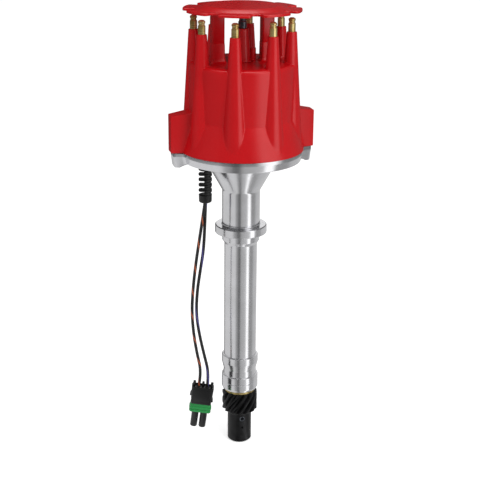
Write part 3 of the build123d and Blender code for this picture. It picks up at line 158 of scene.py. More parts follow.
def moulding(name, dark, light, roughness, peel_mm, peel_depth_mm):
    """Moulded plastic, rubber or carbon: flow marks vary its colour over 30 mm, a slight orange
    peel bends its reflections, and a fine grain from the mould breaks up its gloss."""
    material, tree, bsdf, place = new_material(name, IOR=PLASTIC_IOR)
    flow = add_node(tree, "TexNoise", {"Scale": 1000 / 30.0, "Detail": 3.0},
                    {"Vector": place})
    peel = add_node(tree, "TexNoise", {"Scale": 1000 / peel_mm, "Detail": 3.0},
                    {"Vector": place})
    grain = add_node(tree, "TexNoise", {"Scale": 1000 / 0.35, "Detail": 2.0},
                     {"Vector": place})
    marks = two_shades(tree, flow.outputs["Fac"], 0.3, 0.7, dark, light)
    wave = add_node(tree, "Bump", {"Distance": peel_depth_mm * MM, "Strength": 0.3},
                    {"Height": peel.outputs["Fac"]})
    fine = add_node(tree, "Bump", {"Distance": GRAIN_DEPTH, "Strength": 0.25},
                    {"Height": grain.outputs["Fac"], "Normal": wave.outputs["Normal"]})
    link_shader(tree, bsdf, marks, grain, roughness, 0.14, fine)
    return material


def traced_insulation(name, tracer, pitch_mm, start):
    """PVC insulation, black with one coloured line wound round it. The line follows the wire's UV
    map: U goes once round and V is the length in metres, so the colour is a function of the
    fractional part of U + V / pitch + start."""
    material, tree, bsdf, place = new_material(name, IOR=PLASTIC_IOR)
    uv = add_node(tree, "UVMap", {"uv_map": "wire"})
    parts = add_node(tree, "SeparateXYZ", links={"Vector": uv.outputs["UV"]})
    turns = add_node(tree, "Math", {"operation": "MULTIPLY_ADD", 1: 1000 / pitch_mm},
                     {0: parts.outputs["Y"], 2: parts.outputs["X"]})
    begun = add_node(tree, "Math", {"operation": "ADD", 1: start}, {0: turns.outputs[0]})
    phase = add_node(tree, "Math", {"operation": "FRACT"}, {0: begun.outputs[0]})
    away = add_node(tree, "Math", {"operation": "SUBTRACT", 1: 0.5},
                    {0: phase.outputs[0]})
    distance = add_node(tree, "Math", {"operation": "ABSOLUTE"}, {0: away.outputs[0]})
    line = two_shades(tree, distance.outputs[0], 0.1, 0.07, "#131314", tracer)
    grain = add_node(tree, "TexNoise", {"Scale": 1000 / 0.6, "Detail": 2.0},
                     {"Vector": place})
    fine = add_node(tree, "Bump", {"Distance": GRAIN_DEPTH, "Strength": 0.3},
                    {"Height": grain.outputs["Fac"]})
    link_shader(tree, bsdf, line, grain, 0.39, 0.12, fine)
    return material


def phosphated_iron(name, dark, light):
    """Manganese-phosphated and oiled iron: near black, with crystals of about half a millimetre
    that scatter the sheen, rubbed lighter in patches."""
    material, tree, bsdf, place = new_material(name, Metallic=0.55)
    crystals = add_node(tree, "TexNoise", {"Scale": 1000 / 0.5, "Detail": 5.0},
                        {"Vector": place})
    rubbed = add_node(tree, "TexNoise", {"Scale": 1000 / 7.0, "Detail": 3.0},
                      {"Vector": place})
    patches = two_shades(tree, rubbed.outputs["Fac"], 0.4, 0.75, dark, light)
    rough = add_node(tree, "Bump", {"Distance": 0.03 * MM, "Strength": 0.35},
                     {"Height": crystals.outputs["Fac"]})
    link_shader(tree, bsdf, patches, crystals, 0.44, 0.2, rough)
    return material


# Lathe-turned and lightly polished aluminium: bright, with fine rings and faint stains
ALUMINIUM = turned_metal("turned_aluminium", "#D3D3D5", "#DFDFE2", 0.2, 0.45, 26.0, 0.004)
# Glass-filled polyester, satin red, with a little orange peel
RED_POLYESTER = moulding("red_moulded_polyester", "#BA0A12", "#C30C14", 0.25, 1.1, 0.012)
# Turned brass, yellow with brown tarnish
BRASS = turned_metal("turned_brass", "#B8954E", "#E6D594", 0.25, 0.3, 9.0, 0.002, 0.72)
GEAR_IRON = phosphated_iron("phosphated_gear_iron", "#0F0F10", "#232325")
# Ground steel of the shaft, bearing, posts and pins
GROUND_STEEL = turned_metal("ground_steel", "#B4B5B8", "#D0D1D4", 0.25, 0.3, 5.0, 0.006)
# Blued steel of the screws, the gear's roll pin and the centre terminal
BLUED_STEEL = turned_metal("blued_steel", "#4A4D53", "#6C7078", 0.3, 0.3, 4.0, 0.003, 0.7)
# Plates, weights and thrust washers, with yellow zinc passivation
YELLOW_ZINC = turned_metal("yellow_zinc_steel", "#9F8A50", "#C9B67E", 0.35, 0.5, 4.0, 0.006)
SINTERED_BRONZE = turned_metal("sintered_bronze", "#75562F", "#94703F", 0.48, 0.4, 2.0, 0.01)
SINTERED_MAGNET = turned_metal("sintered_magnet", "#4A4B50", "#5C5D62", 0.5, 0.4, 2.0, 0.01)
# Soft black rubber of the strain relief and the glands behind the wires, matt
BLACK_RUBBER = moulding("black_rubber", "#090909", "#101010", 0.5, 0.8, 0.03)
# Connector shell in black nylon, satin
BLACK_NYLON = moulding("black_nylon", "#0C0C0D", "#151516", 0.32, 1.0, 0.02)
# Silicone seals, bright green
GREEN_SILICONE = moulding("green_silicone", "#157A38", "#279449", 0.42, 1.0, 0.02)
PRESSED_CARBON = moulding("pressed_carbon", "#1B1B1C", "#262627", 0.6, 0.5, 0.02)
ORANGE_LINE_WIRE = traced_insulation("insulation_orange_line", "#9C4C2A", 22.0, 0.75)
VIOLET_LINE_WIRE = traced_insulation("insulation_violet_line", "#453F7C", 56.0, 0.6)

NODE_MATERIALS = {
    ALUMINIUM: ["housing"],
    RED_POLYESTER: ["cap", "wire_retainer", "rotor"],
    BRASS: ["cap_terminals", "advance_washer", "stop_bushing", "rotor_blade",
            "rotor_contact_spring"],
    GEAR_IRON: ["drive_gear"],
    GROUND_STEEL: ["bearing_outer_ring", "bearing_balls", "bearing_inner_ring", "drive_shaft",
                   "shaft_collar", "cam_posts", "reluctor", "weight_pins",
                   "advance_spring_a", "advance_spring_b", "pickup_bracket", "connector_terminals",
                   "carbon_button_spring"],
    BLUED_STEEL: ["gear_roll_pin", "bearing_snap_ring", "stop_nut", "reluctor_pin",
                  "rotor_screws", "pickup_pole", "pickup_screws", "coil_terminal", "cap_screws"],
    YELLOW_ZINC: ["thrust_washers", "cam_plate", "weight_base_plate", "weight_a", "weight_b"],
    SINTERED_BRONZE: ["lower_bushing"],
    SINTERED_MAGNET: ["pickup_magnet"],
    BLACK_RUBBER: ["strain_relief"],
    BLACK_NYLON: ["pickup_coil", "lead_wire_orange", "lead_wire_violet", "connector_body"],
    GREEN_SILICONE: ["connector_seal", "connector_wire_seals"],
    PRESSED_CARBON: ["carbon_button"]}

for finish, node_names in NODE_MATERIALS.items():
    for node_name in node_names:
        node_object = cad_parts[node_name]
        if not node_object.material_slots:
            node_object.data.materials.append(finish)
        for material_slot in node_object.material_slots:
            material_slot.material = finish

# ---- Mesh helpers ----

def mesh_object(name, points, faces):
    """Object of a closed mesh from points in millimetres, with its faces turned outward."""
    mesh = bpy.data.meshes.new(name)
    mesh.from_pydata((np.asarray(points) * MM).tolist(), [], faces)
    edit = bmesh.new()
    edit.from_mesh(mesh)
    bmesh.ops.recalc_face_normals(edit, faces=edit.faces)
    edit.to_mesh(mesh)
    edit.free()
    return new_object(name, mesh)


def evaluated_mesh(item):
    """Mesh of an object as its modifiers or its curve make it."""
    return bpy.data.meshes.new_from_object(
        item.evaluated_get(bpy.context.evaluated_depsgraph_get()))


def add_piece(name, points, faces, material, node, slot, smooth_angle=35.0, cutters=(),
              body="distributor"):
    """Finished piece that rides on a body and replaces a node, less the closed cutters' room."""
    piece = mesh_object(name, points, faces)
    if cutters:
        tool = mesh_object(name + "_tool", *joined(cutters))
        cut = piece.modifiers.new("cut", "BOOLEAN")
        cut.object = tool
        cut.solver = "EXACT"
        drilled = evaluated_mesh(piece)
        piece.modifiers.clear()
        piece.data = drilled
        bpy.data.objects.remove(tool)
    piece.data.materials.clear()
    piece.data.materials.append(material)
    piece.data.shade_smooth()
    piece.data.set_sharp_from_angle(angle=np.radians(smooth_angle))
    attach(piece, body)
    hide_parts(node)
    return piece


def grid_faces(rows, columns, close_rows=False):
    """Quads of a grid whose columns wrap round; close_rows also joins the last row to the first."""
    index = np.arange(rows * columns).reshape(rows, columns)
    below = index if close_rows else index[:-1]
    above = np.roll(index, -1, axis=0) if close_rows else index[1:]
    quads = np.stack([below, np.roll(below, -1, axis=1), np.roll(above, -1, axis=1), above],
                     axis=-1)
    return quads.reshape(-1, 4).tolist()


def closed_surface(grid, ring=False):
    """Points and faces of a grid of closed rows; unless it is a ring, each end row is closed by a
    fan to its own middle."""
    rows, columns = grid.shape[:2]
    points = grid.reshape(-1, 3)
    faces = grid_faces(rows, columns, ring)
    if not ring:
        middles = np.array([grid[0].mean(axis=0), grid[-1].mean(axis=0)])
        count = len(points)
        first = np.arange(columns)
        last = first + (rows - 1) * columns
        for middle, edge in ((count, first), (count + 1, last)):
            fan = np.stack([np.full(columns, middle), edge, np.roll(edge, -1)], axis=-1)
            faces += fan.tolist()
        points = np.vstack([points, middles])
    return points, faces


def joined(parts):
    """Points and faces of several closed surfaces as one mesh."""
    points = []
    faces = []
    offset = 0
    for part_points, part_faces in parts:
        points.append(part_points)
        faces += [[index + offset for index in face] for face in part_faces]
        offset += len(part_points)
    return np.vstack(points), faces


def rounded_profile(corners, steps=5):
    """Polyline of (radius, height, rounding) corners with each corner turned into a tangent arc."""
    corners = np.asarray(corners, float)
    place = corners[:, :2]
    result = [place[0]]
    for index in range(1, len(corners) - 1):
        before = place[index - 1] - place[index]
        after = place[index + 1] - place[index]
        length_before = np.linalg.norm(before)
        length_after = np.linalg.norm(after)
        before = before / length_before
        after = after / length_after
        half = np.arccos(np.clip(before @ after, -1, 1)) / 2
        rounding = corners[index, 2]
        if rounding <= 0 or half > np.radians(89):
            result.append(place[index])
            continue
        reach = min(rounding / np.tan(half), 0.48 * length_before, 0.48 * length_after)
        radius = reach * np.tan(half)
        bisector = (before + after) / np.linalg.norm(before + after)
        middle = place[index] + bisector * radius / np.sin(half)
        first = place[index] + before * reach - middle
        last = place[index] + after * reach - middle
        sweep = np.arctan2(first[0] * last[1] - first[1] * last[0], first @ last)
        angles = np.linspace(0, sweep, steps + 1)
        result += [middle + np.array([first[0] * np.cos(a) - first[1] * np.sin(a),
                                      first[0] * np.sin(a) + first[1] * np.cos(a)])
                   for a in angles]
    result.append(place[-1])
    return np.array(result)


def with_supports(profile, edge=0.25, longest=400.0):
    """The profile with a point close to each end of every long run, which keeps shading tight."""
    result = [profile[0]]
    for start, end in zip(profile[:-1], profile[1:]):
        length = np.linalg.norm(end - start)
        if length > 4 * edge:
            result.append(start + (end - start) * edge / length)
            middle_count = int(length / longest)
            for step in range(middle_count):
                result.append(start + (end - start) * (step + 1) / (middle_count + 1))
            result.append(end - (end - start) * edge / length)
        result.append(end)
    return np.array(result)


def once_round(count):
    """Angles of a whole turn without its end."""
    return np.linspace(0, 2 * np.pi, count, endpoint=False)


def polar_grid(radius, angles, z, centre=(0, 0)):
    """Grid of points by radius and angle round a vertical axis, and height."""
    x = centre[0] + radius * np.cos(angles)
    y = centre[1] + radius * np.sin(angles)
    return np.stack([x, y, np.broadcast_to(z, x.shape)], axis=-1)


def lathe(profile, columns=96, centre=(0, 0)):
    """Grid of a profile of (radius, height) turned once round a vertical axis."""
    profile = np.asarray(profile, float)
    angles = once_round(columns)
    return polar_grid(profile[:, 0, None], angles, profile[:, 1, None], centre)


def turned_form(corners, steps, columns, centre=(0, 0), edge=0.25):
    """Closed form turned from (radius, height, rounding) corners about a vertical axis."""
    profile = with_supports(rounded_profile(corners, steps), edge)
    return closed_surface(lathe(profile, columns, centre))


def smooth_max(a, b, blend):
    """Larger of two values, rounded over a blend width like a fillet."""
    share = np.clip(0.5 + 0.5 * (a - b) / blend, 0, 1)
    return b + (a - b) * share + blend * share * (1 - share)


def smooth_min(a, b, blend):
    """Smaller of two values, rounded over a blend width."""
    return -smooth_max(-a, -b, blend)


def rotation(angle):
    """Matrix that turns rows of two coordinates: rows @ rotation(angle)."""
    return np.array([[np.cos(angle), np.sin(angle)], [-np.sin(angle), np.cos(angle)]])


def turned(points, degrees):
    """Points turned about the Z axis."""
    turn = np.eye(3)
    turn[:2, :2] = rotation(np.radians(degrees))
    return points @ turn


make_camera()

# ---- Lead: two wires from the strain relief to the connector ----

WIRE_RADIUS = 1.35
CONNECTOR_PLACE = np.array([-36.85, -13.24, -136.97])
CONNECTOR_X = np.array([0.9603, -0.2483, -0.1274])
CONNECTOR_Z = np.array([-0.1234, 0.0319, -0.9918])
CONNECTOR_Y = np.cross(CONNECTOR_Z, CONNECTOR_X)
CONNECTOR_PITCH = 7.6
WIRE_ENDS = CONNECTOR_PLACE + np.array([[-0.5], [0.5]]) * CONNECTOR_PITCH * CONNECTOR_X

ORANGE_ROUTE = np.array([
    (-35.1, -15.2, 33.1), (-36.8, -14.4, 20.1), (-39.7, -13.4, -0.4), (-42.6, -12.4, -21.2),
    (-45.0, -11.4, -44.2), (-46.1, -10.9, -64.8), (-45.0, -11.1, -84.5), (-42.2, -11.8, -104.5),
    (-38.2, -12.8, -123.7), WIRE_ENDS[0]])
VIOLET_ROUTE = np.array([
    (-33.9, -12.5, 33.1), (-34.6, -12.6, 15.0), (-35.8, -12.6, -9.9), (-38.8, -12.1, -28.9),
    (-41.4, -11.7, -47.2), (-42.4, -11.7, -67.6), (-40.1, -12.3, -86.4), (-36.0, -13.4, -106.4),
    (-31.9, -14.5, -124.5), WIRE_ENDS[1]])


def spline_points(name, route):
    """Points along the NURBS spline of order 3 whose control points are the route's, in metres."""
    curve = bpy.data.curves.new(name + "_route", "CURVE")
    curve.dimensions = "3D"
    curve.resolution_u = 12
    spline = curve.splines.new("NURBS")
    spline.points.add(len(route) - 1)
    spline.points.foreach_set("co", np.hstack([route * MM, np.ones((len(route), 1))]).ravel())
    spline.order_u = 3
    spline.use_endpoint_u = True
    holder = new_object(name + "_route", curve)
    sampled = evaluated_mesh(holder)
    points = np.empty(len(sampled.vertices) * 3)
    sampled.vertices.foreach_get("co", points)
    bpy.data.objects.remove(holder)
    bpy.data.meshes.remove(sampled)
    return points.reshape(-1, 3)


def tube_grid(line, radius, columns):
    """Rings round a line: each is radius (cos u N + sin u B), with N the part of a fixed side
    direction that is square to the line's tangent T, and B = T x N."""
    tangent = np.gradient(line, axis=0)
    tangent /= np.linalg.norm(tangent, axis=1)[:, None]
    side = np.array([0.0, -1.0, 0.0]) - tangent * (tangent @ np.array([0.0, -1.0, 0.0]))[:, None]
    side /= np.linalg.norm(side, axis=1)[:, None]
    other = np.cross(tangent, side)
    angles = once_round(columns)[None, :, None]
    return line[:, None] + radius * (np.cos(angles) * side[:, None]
                                     + np.sin(angles) * other[:, None])


def make_wire(name, node, route, material, slot, columns=20):
    """Insulated wire along a route, with its length and turn in the UV map named wire."""
    line = spline_points(name, route)
    grid = tube_grid(line / MM, WIRE_RADIUS, columns)
    points, faces = closed_surface(grid)
    piece = add_piece(name, points, faces, material, node, slot, 60.0)
    run = np.concatenate([[0.0], np.cumsum(np.linalg.norm(np.diff(line, axis=0), axis=1))])
    layer = piece.data.uv_layers.new(name="wire")
    corner = np.empty(len(piece.data.loops), dtype=int)
    piece.data.loops.foreach_get("vertex_index", corner)
    row = np.minimum(corner // columns, len(line) - 1)
    around = (corner % columns) / columns
    face = np.repeat(np.arange(len(piece.data.polygons)),
                     [len(polygon.vertices) for polygon in piece.data.polygons])
    highest = np.zeros(len(piece.data.polygons))
    np.maximum.at(highest, face, around)
    around = np.where((around == 0) & (highest[face] > 0.5), 1.0, around)
    layer.data.foreach_set("uv", np.column_stack([around, run[row]]).ravel())


def rounded_outline(half_x, half_y, corner, steps=6):
    """Closed outline of a rectangle with round corners, as four arcs joined by straight sides."""
    angles = np.linspace(0, np.pi / 2, steps)
    arc = np.column_stack([np.cos(angles), np.sin(angles)]) * corner
    arcs = []
    for quarter, (sign_x, sign_y) in enumerate(((1, 1), (-1, 1), (-1, -1), (1, -1))):
        rotated = arc @ rotation(quarter * np.pi / 2)
        arcs.append(rotated + [sign_x * (half_x - corner), sign_y * (half_y - corner)])
    return np.vstack(arcs)


def rounded_loft(half_x, half_y, corner, profile, centre=(0, 0), steps=6):
    """Grid of rounded rectangles stacked along Z; profile rows are (z, growth of each side)."""
    rows = []
    for z, growth in profile:
        outline = rounded_outline(half_x + growth, half_y + growth, max(corner + growth, 0.15),
                                  steps)
        rows.append(np.column_stack([outline + centre, np.full(len(outline), z)]))
    return np.array(rows)


def on_connector(grid):
    """Local connector coordinates to the object's frame."""
    return (CONNECTOR_PLACE + grid[..., 0:1] * CONNECTOR_X + grid[..., 1:2] * CONNECTOR_Y
            + grid[..., 2:3] * CONNECTOR_Z)


def block(half_x, half_y, corner, low, high, edge, centre=(0, 0)):
    """Rounded block from low to high with its end edges rounded."""
    return rounded_loft(half_x, half_y, corner, [
        (low, -edge), (low + 0.3 * edge, -0.3 * edge), (low + edge, 0), (high - edge, 0),
        (high - 0.3 * edge, -0.3 * edge), (high, -edge)], centre)


def small_lathe(profile, centre, columns=28):
    """Closed turned form about a local axis parallel to Z."""
    return closed_surface(on_connector(lathe(profile, columns, centre)))


SHELL_HALF_X = 9.8
SHELL_LENGTH = 16.4
SHELL_NARROWING = 0.09       # share of the shell's width that is gone at the seal's end
CORE_END = 24.4
RIB_PITCH = 8.0 / 3
RIB_HEIGHTS = (0.35, 0.95, 0.75)


def make_connector():
    """Connector shell with its core, towers, latch ramps, posts and panels, the ribbed seal round
    the core, and the glands behind the wires."""
    shroud = rounded_loft(SHELL_HALF_X, 5.3, 1.6, [
        (1.2, -2.4), (1.2, -1.8), (0.1, -1.7), (0, -1.4), (0, -0.7), (0.25, -0.2), (0.8, 0),
        (5.5, 0), (8.0, 0), (10.5, 0), (13.0, 0), (15.5, 0), (16.15, -0.25), (SHELL_LENGTH, -0.8)])
    along = np.clip(shroud[..., 2] / SHELL_LENGTH, 0, 1)
    shroud[..., 0] *= 1 - SHELL_NARROWING * along ** 1.5
    parts = [closed_surface(on_connector(shroud)),
             closed_surface(on_connector(block(7.8, 3.6, 1.6, 16.0, CORE_END, 0.4)))]
    for side in (-1, 1):
        tower = [(2.0, 18.0), (3.1, 18.0), (3.1, 39.0), (2.8, 39.6), (2.2, 39.6), (2.0, 39.3)]
        grid = on_connector(lathe(tower, 32, (side * CONNECTOR_PITCH / 2, 0)))
        parts.append(closed_surface(grid, ring=True))
        start = 6.0 if side < 0 else 10.5
        ramp = rounded_loft(1.0, 2.0, 0.3, [
            (start, -0.9), (start + 0.3, -0.5), (start + 2.6, 0), (start + 3.8, 0),
            (start + 4.0, -0.2)], (side * (SHELL_HALF_X - 0.035 * start), 0), 3)
        parts.append(closed_surface(on_connector(ramp)))
    for place, radius in ((-7.8, 1.25), (0, 1.1), (7.8, 1.25)):
        post = [(radius * 0.6, -4.2), (radius * 0.9, -4.05), (radius, -3.6), (radius, 1.6)]
        parts.append(small_lathe(post, (place, 0), 16))
    # shallow raised panels on the two wide faces
    for side in (-1, 1):
        panel = block(7.0, 0.35, 0.2, 2.4, 13.6, 0.2, (0, side * 5.2))
        parts.append(closed_surface(on_connector(panel)))
    body = add_piece("connector_shell", *joined(parts), BLACK_NYLON, "connector_body",
                     "plastic_black")
    rows = [(SHELL_LENGTH, -2.2), (SHELL_LENGTH, -1.0)]
    for index, crest in enumerate(RIB_HEIGHTS):
        middle = SHELL_LENGTH + index * RIB_PITCH + RIB_PITCH / 2
        rows += [(middle - np.cos(a) * RIB_PITCH * 0.38, -0.9 + crest * np.sin(a))
                 for a in np.linspace(0, np.pi, 7)]
    rows += [(CORE_END, -1.0), (CORE_END, -2.2)]
    grid = on_connector(rounded_loft(SHELL_HALF_X, 5.5, 2.2, rows))
    seal = add_piece("ribbed_seal", *closed_surface(grid, ring=True), GREEN_SILICONE,
                     "connector_seal", "seal_green", 50.0)
    gland = [(1.0, 0.4), (2.0, 0.4), (2.3, 0.7), (2.3, 5.9)]
    glands = [small_lathe(gland, (side * CONNECTOR_PITCH / 2, 0)) for side in (-1, 1)]
    wire_glands = add_piece("wire_glands", *joined(glands), BLACK_RUBBER,
                            "connector_wire_seals", "rubber_black")
    return [body, seal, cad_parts["connector_terminals"]], [wire_glands]


connector_pieces, gland_pieces = make_connector()
make_wire("orange_line_wire", "lead_wire_orange", ORANGE_ROUTE, ORANGE_LINE_WIRE, "wire_black")
make_wire("violet_line_wire", "lead_wire_violet", VIOLET_ROUTE, VIOLET_LINE_WIRE,
          "wire_black_violet")


def make_strain_relief():
    """Slotted rubber sleeve round its own axis. On the slots' side a row's radius is the smaller
    of the sleeve's and the spine's chord / |cos u|, and on a fin that of half its width /
    |sin u| where it is larger. On the spine's side a notch is cut by a chord."""
    rows = [(33.1, 4.4, 0, 0), (33.4, 4.9, 0, 0), (34.1, 5.4, 0, 0), (39.6, 5.5, 0, 0)]
    for slot in range(5):
        low = 40.2 + slot * 4.6
        high = low + 2.1
        under = 2 if slot > 0 else 0
        over = 2 if slot < 4 else 0
        rows += [(low - 0.7, 5.65, under, 0), (low - 0.3, 5.45, under, 0), (low, 4.7, under, 0),
                 (low + 0.05, 5.5, 1, 0), (low + 0.5, 5.5, 1, 1), (high - 0.5, 5.5, 1, 1),
                 (high - 0.05, 5.5, 1, 0), (high, 4.7, over, 0), (high + 0.3, 5.45, over, 0),
                 (high + 0.7, 5.65, over, 0)]
    rows += [(65.35, 5.6, 0, 0), (65.5, 5.5, 0, 0), (65.5, 4.2, 0, 0), (69.1, 4.2, 0, 0),
             (69.1, 5.5, 0, 0), (70.4, 5.6, 0, 0), (70.7, 5.3, 0, 0)]
    z, radius, slotted, notched = np.array(rows).T[:, :, None]
    angles = once_round(144)[None, :]
    facing = np.cos(angles)
    away = np.maximum(-facing, 1e-6)
    near = np.maximum(facing, 1e-6)
    spine = np.where(facing < 0, np.minimum(radius, 0.784 / away), radius)
    fin = np.minimum(radius, np.maximum(spine, 1.9 / np.maximum(np.abs(np.sin(angles)), 1e-6)))
    reach = np.select([slotted == 1, (slotted == 2) & (facing < 0)], [spine, fin],
                      radius + 0 * facing)
    reach = np.where((notched > 0) & (facing > 0), np.minimum(reach, 4.7 / near), reach)
    grid = polar_grid(reach, angles + np.radians(-14.5), z, (-34.5, -13.9))
    add_piece("slotted_sleeve", *closed_surface(grid), BLACK_RUBBER, "strain_relief",
              "rubber_black", 30.0)


make_strain_relief()

# ---- Cap ----

TOWER_CIRCLE = 40.6
TOWER_TOP_Z = 173.3
TOWER_TOP_RADIUS = 4.2
TOWER_DRAFT = 0.065
TOWER_ANGLES = np.radians(22.5 + 45 * np.arange(8))
DECK_Z = 147.8
TOWERS_FROM_Z = 78.0
PEDESTAL_X = 21.0
PEDESTAL_TOP_Z = 163.5
SCREW_X = 53.6
EAR_HALF_WIDTH = 6.0
CAP_EAR_END = 61.6
HOUSING_EAR_END = 59.8
HOUSING_EAR_DROP = 3.4       # how far its underside lies below the rim's
CAP_EAR_FLARE = np.tan(np.radians(9))
HOUSING_EAR_FLARE = np.tan(np.radians(20))
EAR_SLOPE = np.tan(np.radians(9))
EAR_TOP_Z = 105.4            # where an ear's sloping top meets its end plane


def ear_reach(angles, end_x, corner, flare):
    """Distance from the axis to a hold-down ear's outline: the nearer of its end plane,
    end / cos a, and its flank, (half + end t) / (sin a + t cos a), with a the angle from the
    X axis and t the tangent of the flank's flare, rounded where they meet."""
    along = np.maximum(np.abs(np.cos(angles)), 0.05)
    across = np.abs(np.sin(angles))
    end = end_x / along
    flank = (EAR_HALF_WIDTH + end_x * flare) / (across + flare * along)
    return smooth_min(end, flank, corner), along


def screw_holes(radius, low, high, columns):
    """Cutters of the two screws' holes in the ears."""
    return [closed_surface(lathe([(radius, low), (radius, high)], columns, (side * SCREW_X, 0)))
            for side in (-1, 1)]


def make_cap_shell(columns=720):
    """Moulded shell. Its outer radius at (u, z) is a smooth maximum of three: the cap's own
    profile, the eight drafted towers, R cos d + sqrt(rt^2 - R^2 sin^2 d), and the two ears,
    which a sloping plane cuts off. The deck, the foot and the inner wall close it."""
    angles = once_round(columns)[None, :]
    turn = np.linspace(0, np.pi / 2, 8)[1:]
    z = np.concatenate([
        [74.5, 74.62, 75.5], np.linspace(75.75, 101.1, 29), [101.35, 101.6],
        np.linspace(102.5, 104.7, 4), np.linspace(105.0, 108.6, 16), np.linspace(110, 144.6, 14),
        144.6 + 3.2 * np.sin(turn)])
    body = np.interp(z, [74.5, 74.62, 75.5, 75.75, 101.35, 101.6, 144.6],
                     [52.3, 52.5, 52.5, 52.42, 44.25, 44.2, 44.2])
    body[-7:] = 44.2 - 4.2 * (1 - np.cos(turn))
    z = z[:, None]
    body = body[:, None]
    tower_radius = TOWER_TOP_RADIUS + (TOWER_TOP_Z - z) * TOWER_DRAFT
    off = (angles - TOWER_ANGLES[0] + np.pi / 8) % (np.pi / 4) - np.pi / 8
    inside = tower_radius ** 2 - (TOWER_CIRCLE * np.sin(off)) ** 2
    tower = np.where((inside > 0) & (z >= TOWERS_FROM_Z),
                     TOWER_CIRCLE * np.cos(off) + np.sqrt(np.maximum(inside, 0)), 0)
    shell = smooth_max(body, tower, 0.7)
    ear, along = ear_reach(angles, CAP_EAR_END, 1.0, CAP_EAR_FLARE)
    top = (CAP_EAR_END - (z - EAR_TOP_Z) / EAR_SLOPE) / along
    ear = smooth_min(np.broadcast_to(ear, top.shape), top, 1.0)
    ear = ear - np.where(z < 74.6, 0.2, 0.0)
    wall = polar_grid(smooth_max(shell, ear, 2.0), angles, z)
    deck = np.array([0.985, 0.93, 0.8, 0.6, 0.3, 0.08])[:, None, None] * wall[-1] * [1, 1, 0]
    deck[..., 2] = DECK_Z
    inner_profile = rounded_profile([
        (48.5, 74.5, 0), (48.5, 75.7, 0.4), (40.2, 101.5, 3.0), (40.2, 143.8, 2.0),
        (2.7, 143.8, 0.3), (2.7, 146.8, 0)], 4)
    inner = lathe(with_supports(inner_profile, 0.4, 12.0), columns)
    # the screws' holes are blind from below: the ears' tops stay closed
    add_piece("cap_shell", *closed_surface(np.vstack([inner[::-1], wall, deck])), RED_POLYESTER,
              "cap", "red_moulding", 40.0, screw_holes(2.7, 70.0, 96.5, 48))


def make_cap_towers():
    """Eight drafted towers with a foot fillet on the deck's side, the taller centre tower, the
    vent boss and the two pedestals."""
    heights = np.array([
        147.0, 147.78, 147.85, 148.0, 148.25, 148.6, 149.0, 149.4, 152, 157, 162, 167, 172.3,
        172.7, 173.0, 173.2, 173.3, 173.3])
    radii = TOWER_TOP_RADIUS + (TOWER_TOP_Z - heights) * TOWER_DRAFT
    radii[1] -= 0.02
    radii[0] -= 1.0
    radii[-5:] = radii[-5] - np.array([0, 0.06, 0.22, 0.5, 2.0])
    rise = np.clip((heights - DECK_Z) / 1.6, 0, 1)
    flare = 1.6 * (1 - np.sqrt(1 - (1 - rise) ** 2))
    flare[0] = 0
    around = once_round(48)
    x = TOWER_CIRCLE + radii[:, None] * np.cos(around)
    y = radii[:, None] * np.sin(around)
    inward = np.clip((39.6 - np.hypot(x, y)) / 2.5, 0, 1)
    tower = polar_grid(radii[:, None] + flare[:, None] * inward, around, heights[:, None],
                       (TOWER_CIRCLE, 0))
    parts = [closed_surface(turned(tower, np.degrees(angle))) for angle in TOWER_ANGLES]
    parts.append(turned_form([
        (0.5, 147.0, 0), (6.0, 147.0, 0), (9.0, 147.8, 0), (6.97, 147.8, 2.2), (5.2, 175.0, 0.5),
        (0.3, 175.0, 0)], 6, 64))
    parts.append(turned_form([
        (0.3, 147.3, 0), (4.2, 147.8, 0), (2.75, 147.8, 1.0), (2.75, 157.8, 0.5), (1.0, 157.8, 0.2),
        (1.0, 154.8, 0), (0.1, 154.8, 0)], 5, 36, (10.4, 5.6)))
    taper = np.tan(np.radians(1))
    profile = [(147.0, 0.0)]
    for height in (147.8, 148.0, 148.4, 149.0, 149.8, 150.8, 151.8):
        foot = 2.6 * (1 - np.sqrt(1 - (1 - min((height - DECK_Z) / 4.0, 1)) ** 2))
        profile.append((height, foot - (height - DECK_Z) * taper))
    profile += [(155.0, -7.2 * taper), (162.9, -15.1 * taper), (163.3, -15.5 * taper - 0.03),
                (PEDESTAL_TOP_Z, -15.7 * taper - 0.15)]
    for side in (-1, 1):
        pedestal = rounded_loft(5.53, 5.53, 1.4, profile, (side * PEDESTAL_X, 0), 8)
        parts.append(closed_surface(pedestal))
    add_piece("cap_towers", *joined(parts), RED_POLYESTER, "cap", "red_moulding", 40.0)


make_cap_shell()
make_cap_towers()


def make_plug_terminals():
    """Eight turned terminals: round base on the tower, waist, domed head, and a contact inside.
    The centre terminal is the same, but taller."""
    terminal = turned_form([
        (1.9, 143.9, 0), (1.9, 173.2, 0), (3.05, 173.2, 0.3), (3.05, 179.9, 0.5),
        (2.45, 180.9, 0.5), (2.45, 181.8, 0.4), (2.95, 182.5, 0.4), (2.95, 183.7, 0.8),
        (1.7, 184.7, 0.7), (0.4, 184.8, 0)], 5, 36, (TOWER_CIRCLE, 0), 0.12)
    contact = turned_form([(0.2, 133.5, 0), (2.6, 133.5, 0.4), (2.6, 144.0, 0)], 4, 28, (37.0, 0))
    parts = [(turned(points, np.degrees(angle)), faces)
             for angle in TOWER_ANGLES for points, faces in (terminal, contact)]
    add_piece("plug_terminals", *joined(parts), BRASS, "cap_terminals", "brass")
    centre = turned_form([
        (2.6, 153.9, 0), (2.6, 174.9, 0), (3.45, 174.9, 0.3), (3.45, 180.1, 0.4),
        (2.75, 181.5, 0.5), (2.75, 182.9, 0.5), (3.2, 184.2, 0.4), (3.15, 185.8, 0.7),
        (1.75, 187.0, 0.7), (0.3, 187.0, 0)], 5, 40, edge=0.12)
    add_piece("centre_terminal", *centre, BLUED_STEEL, "coil_terminal", "steel_dark")


make_plug_terminals()

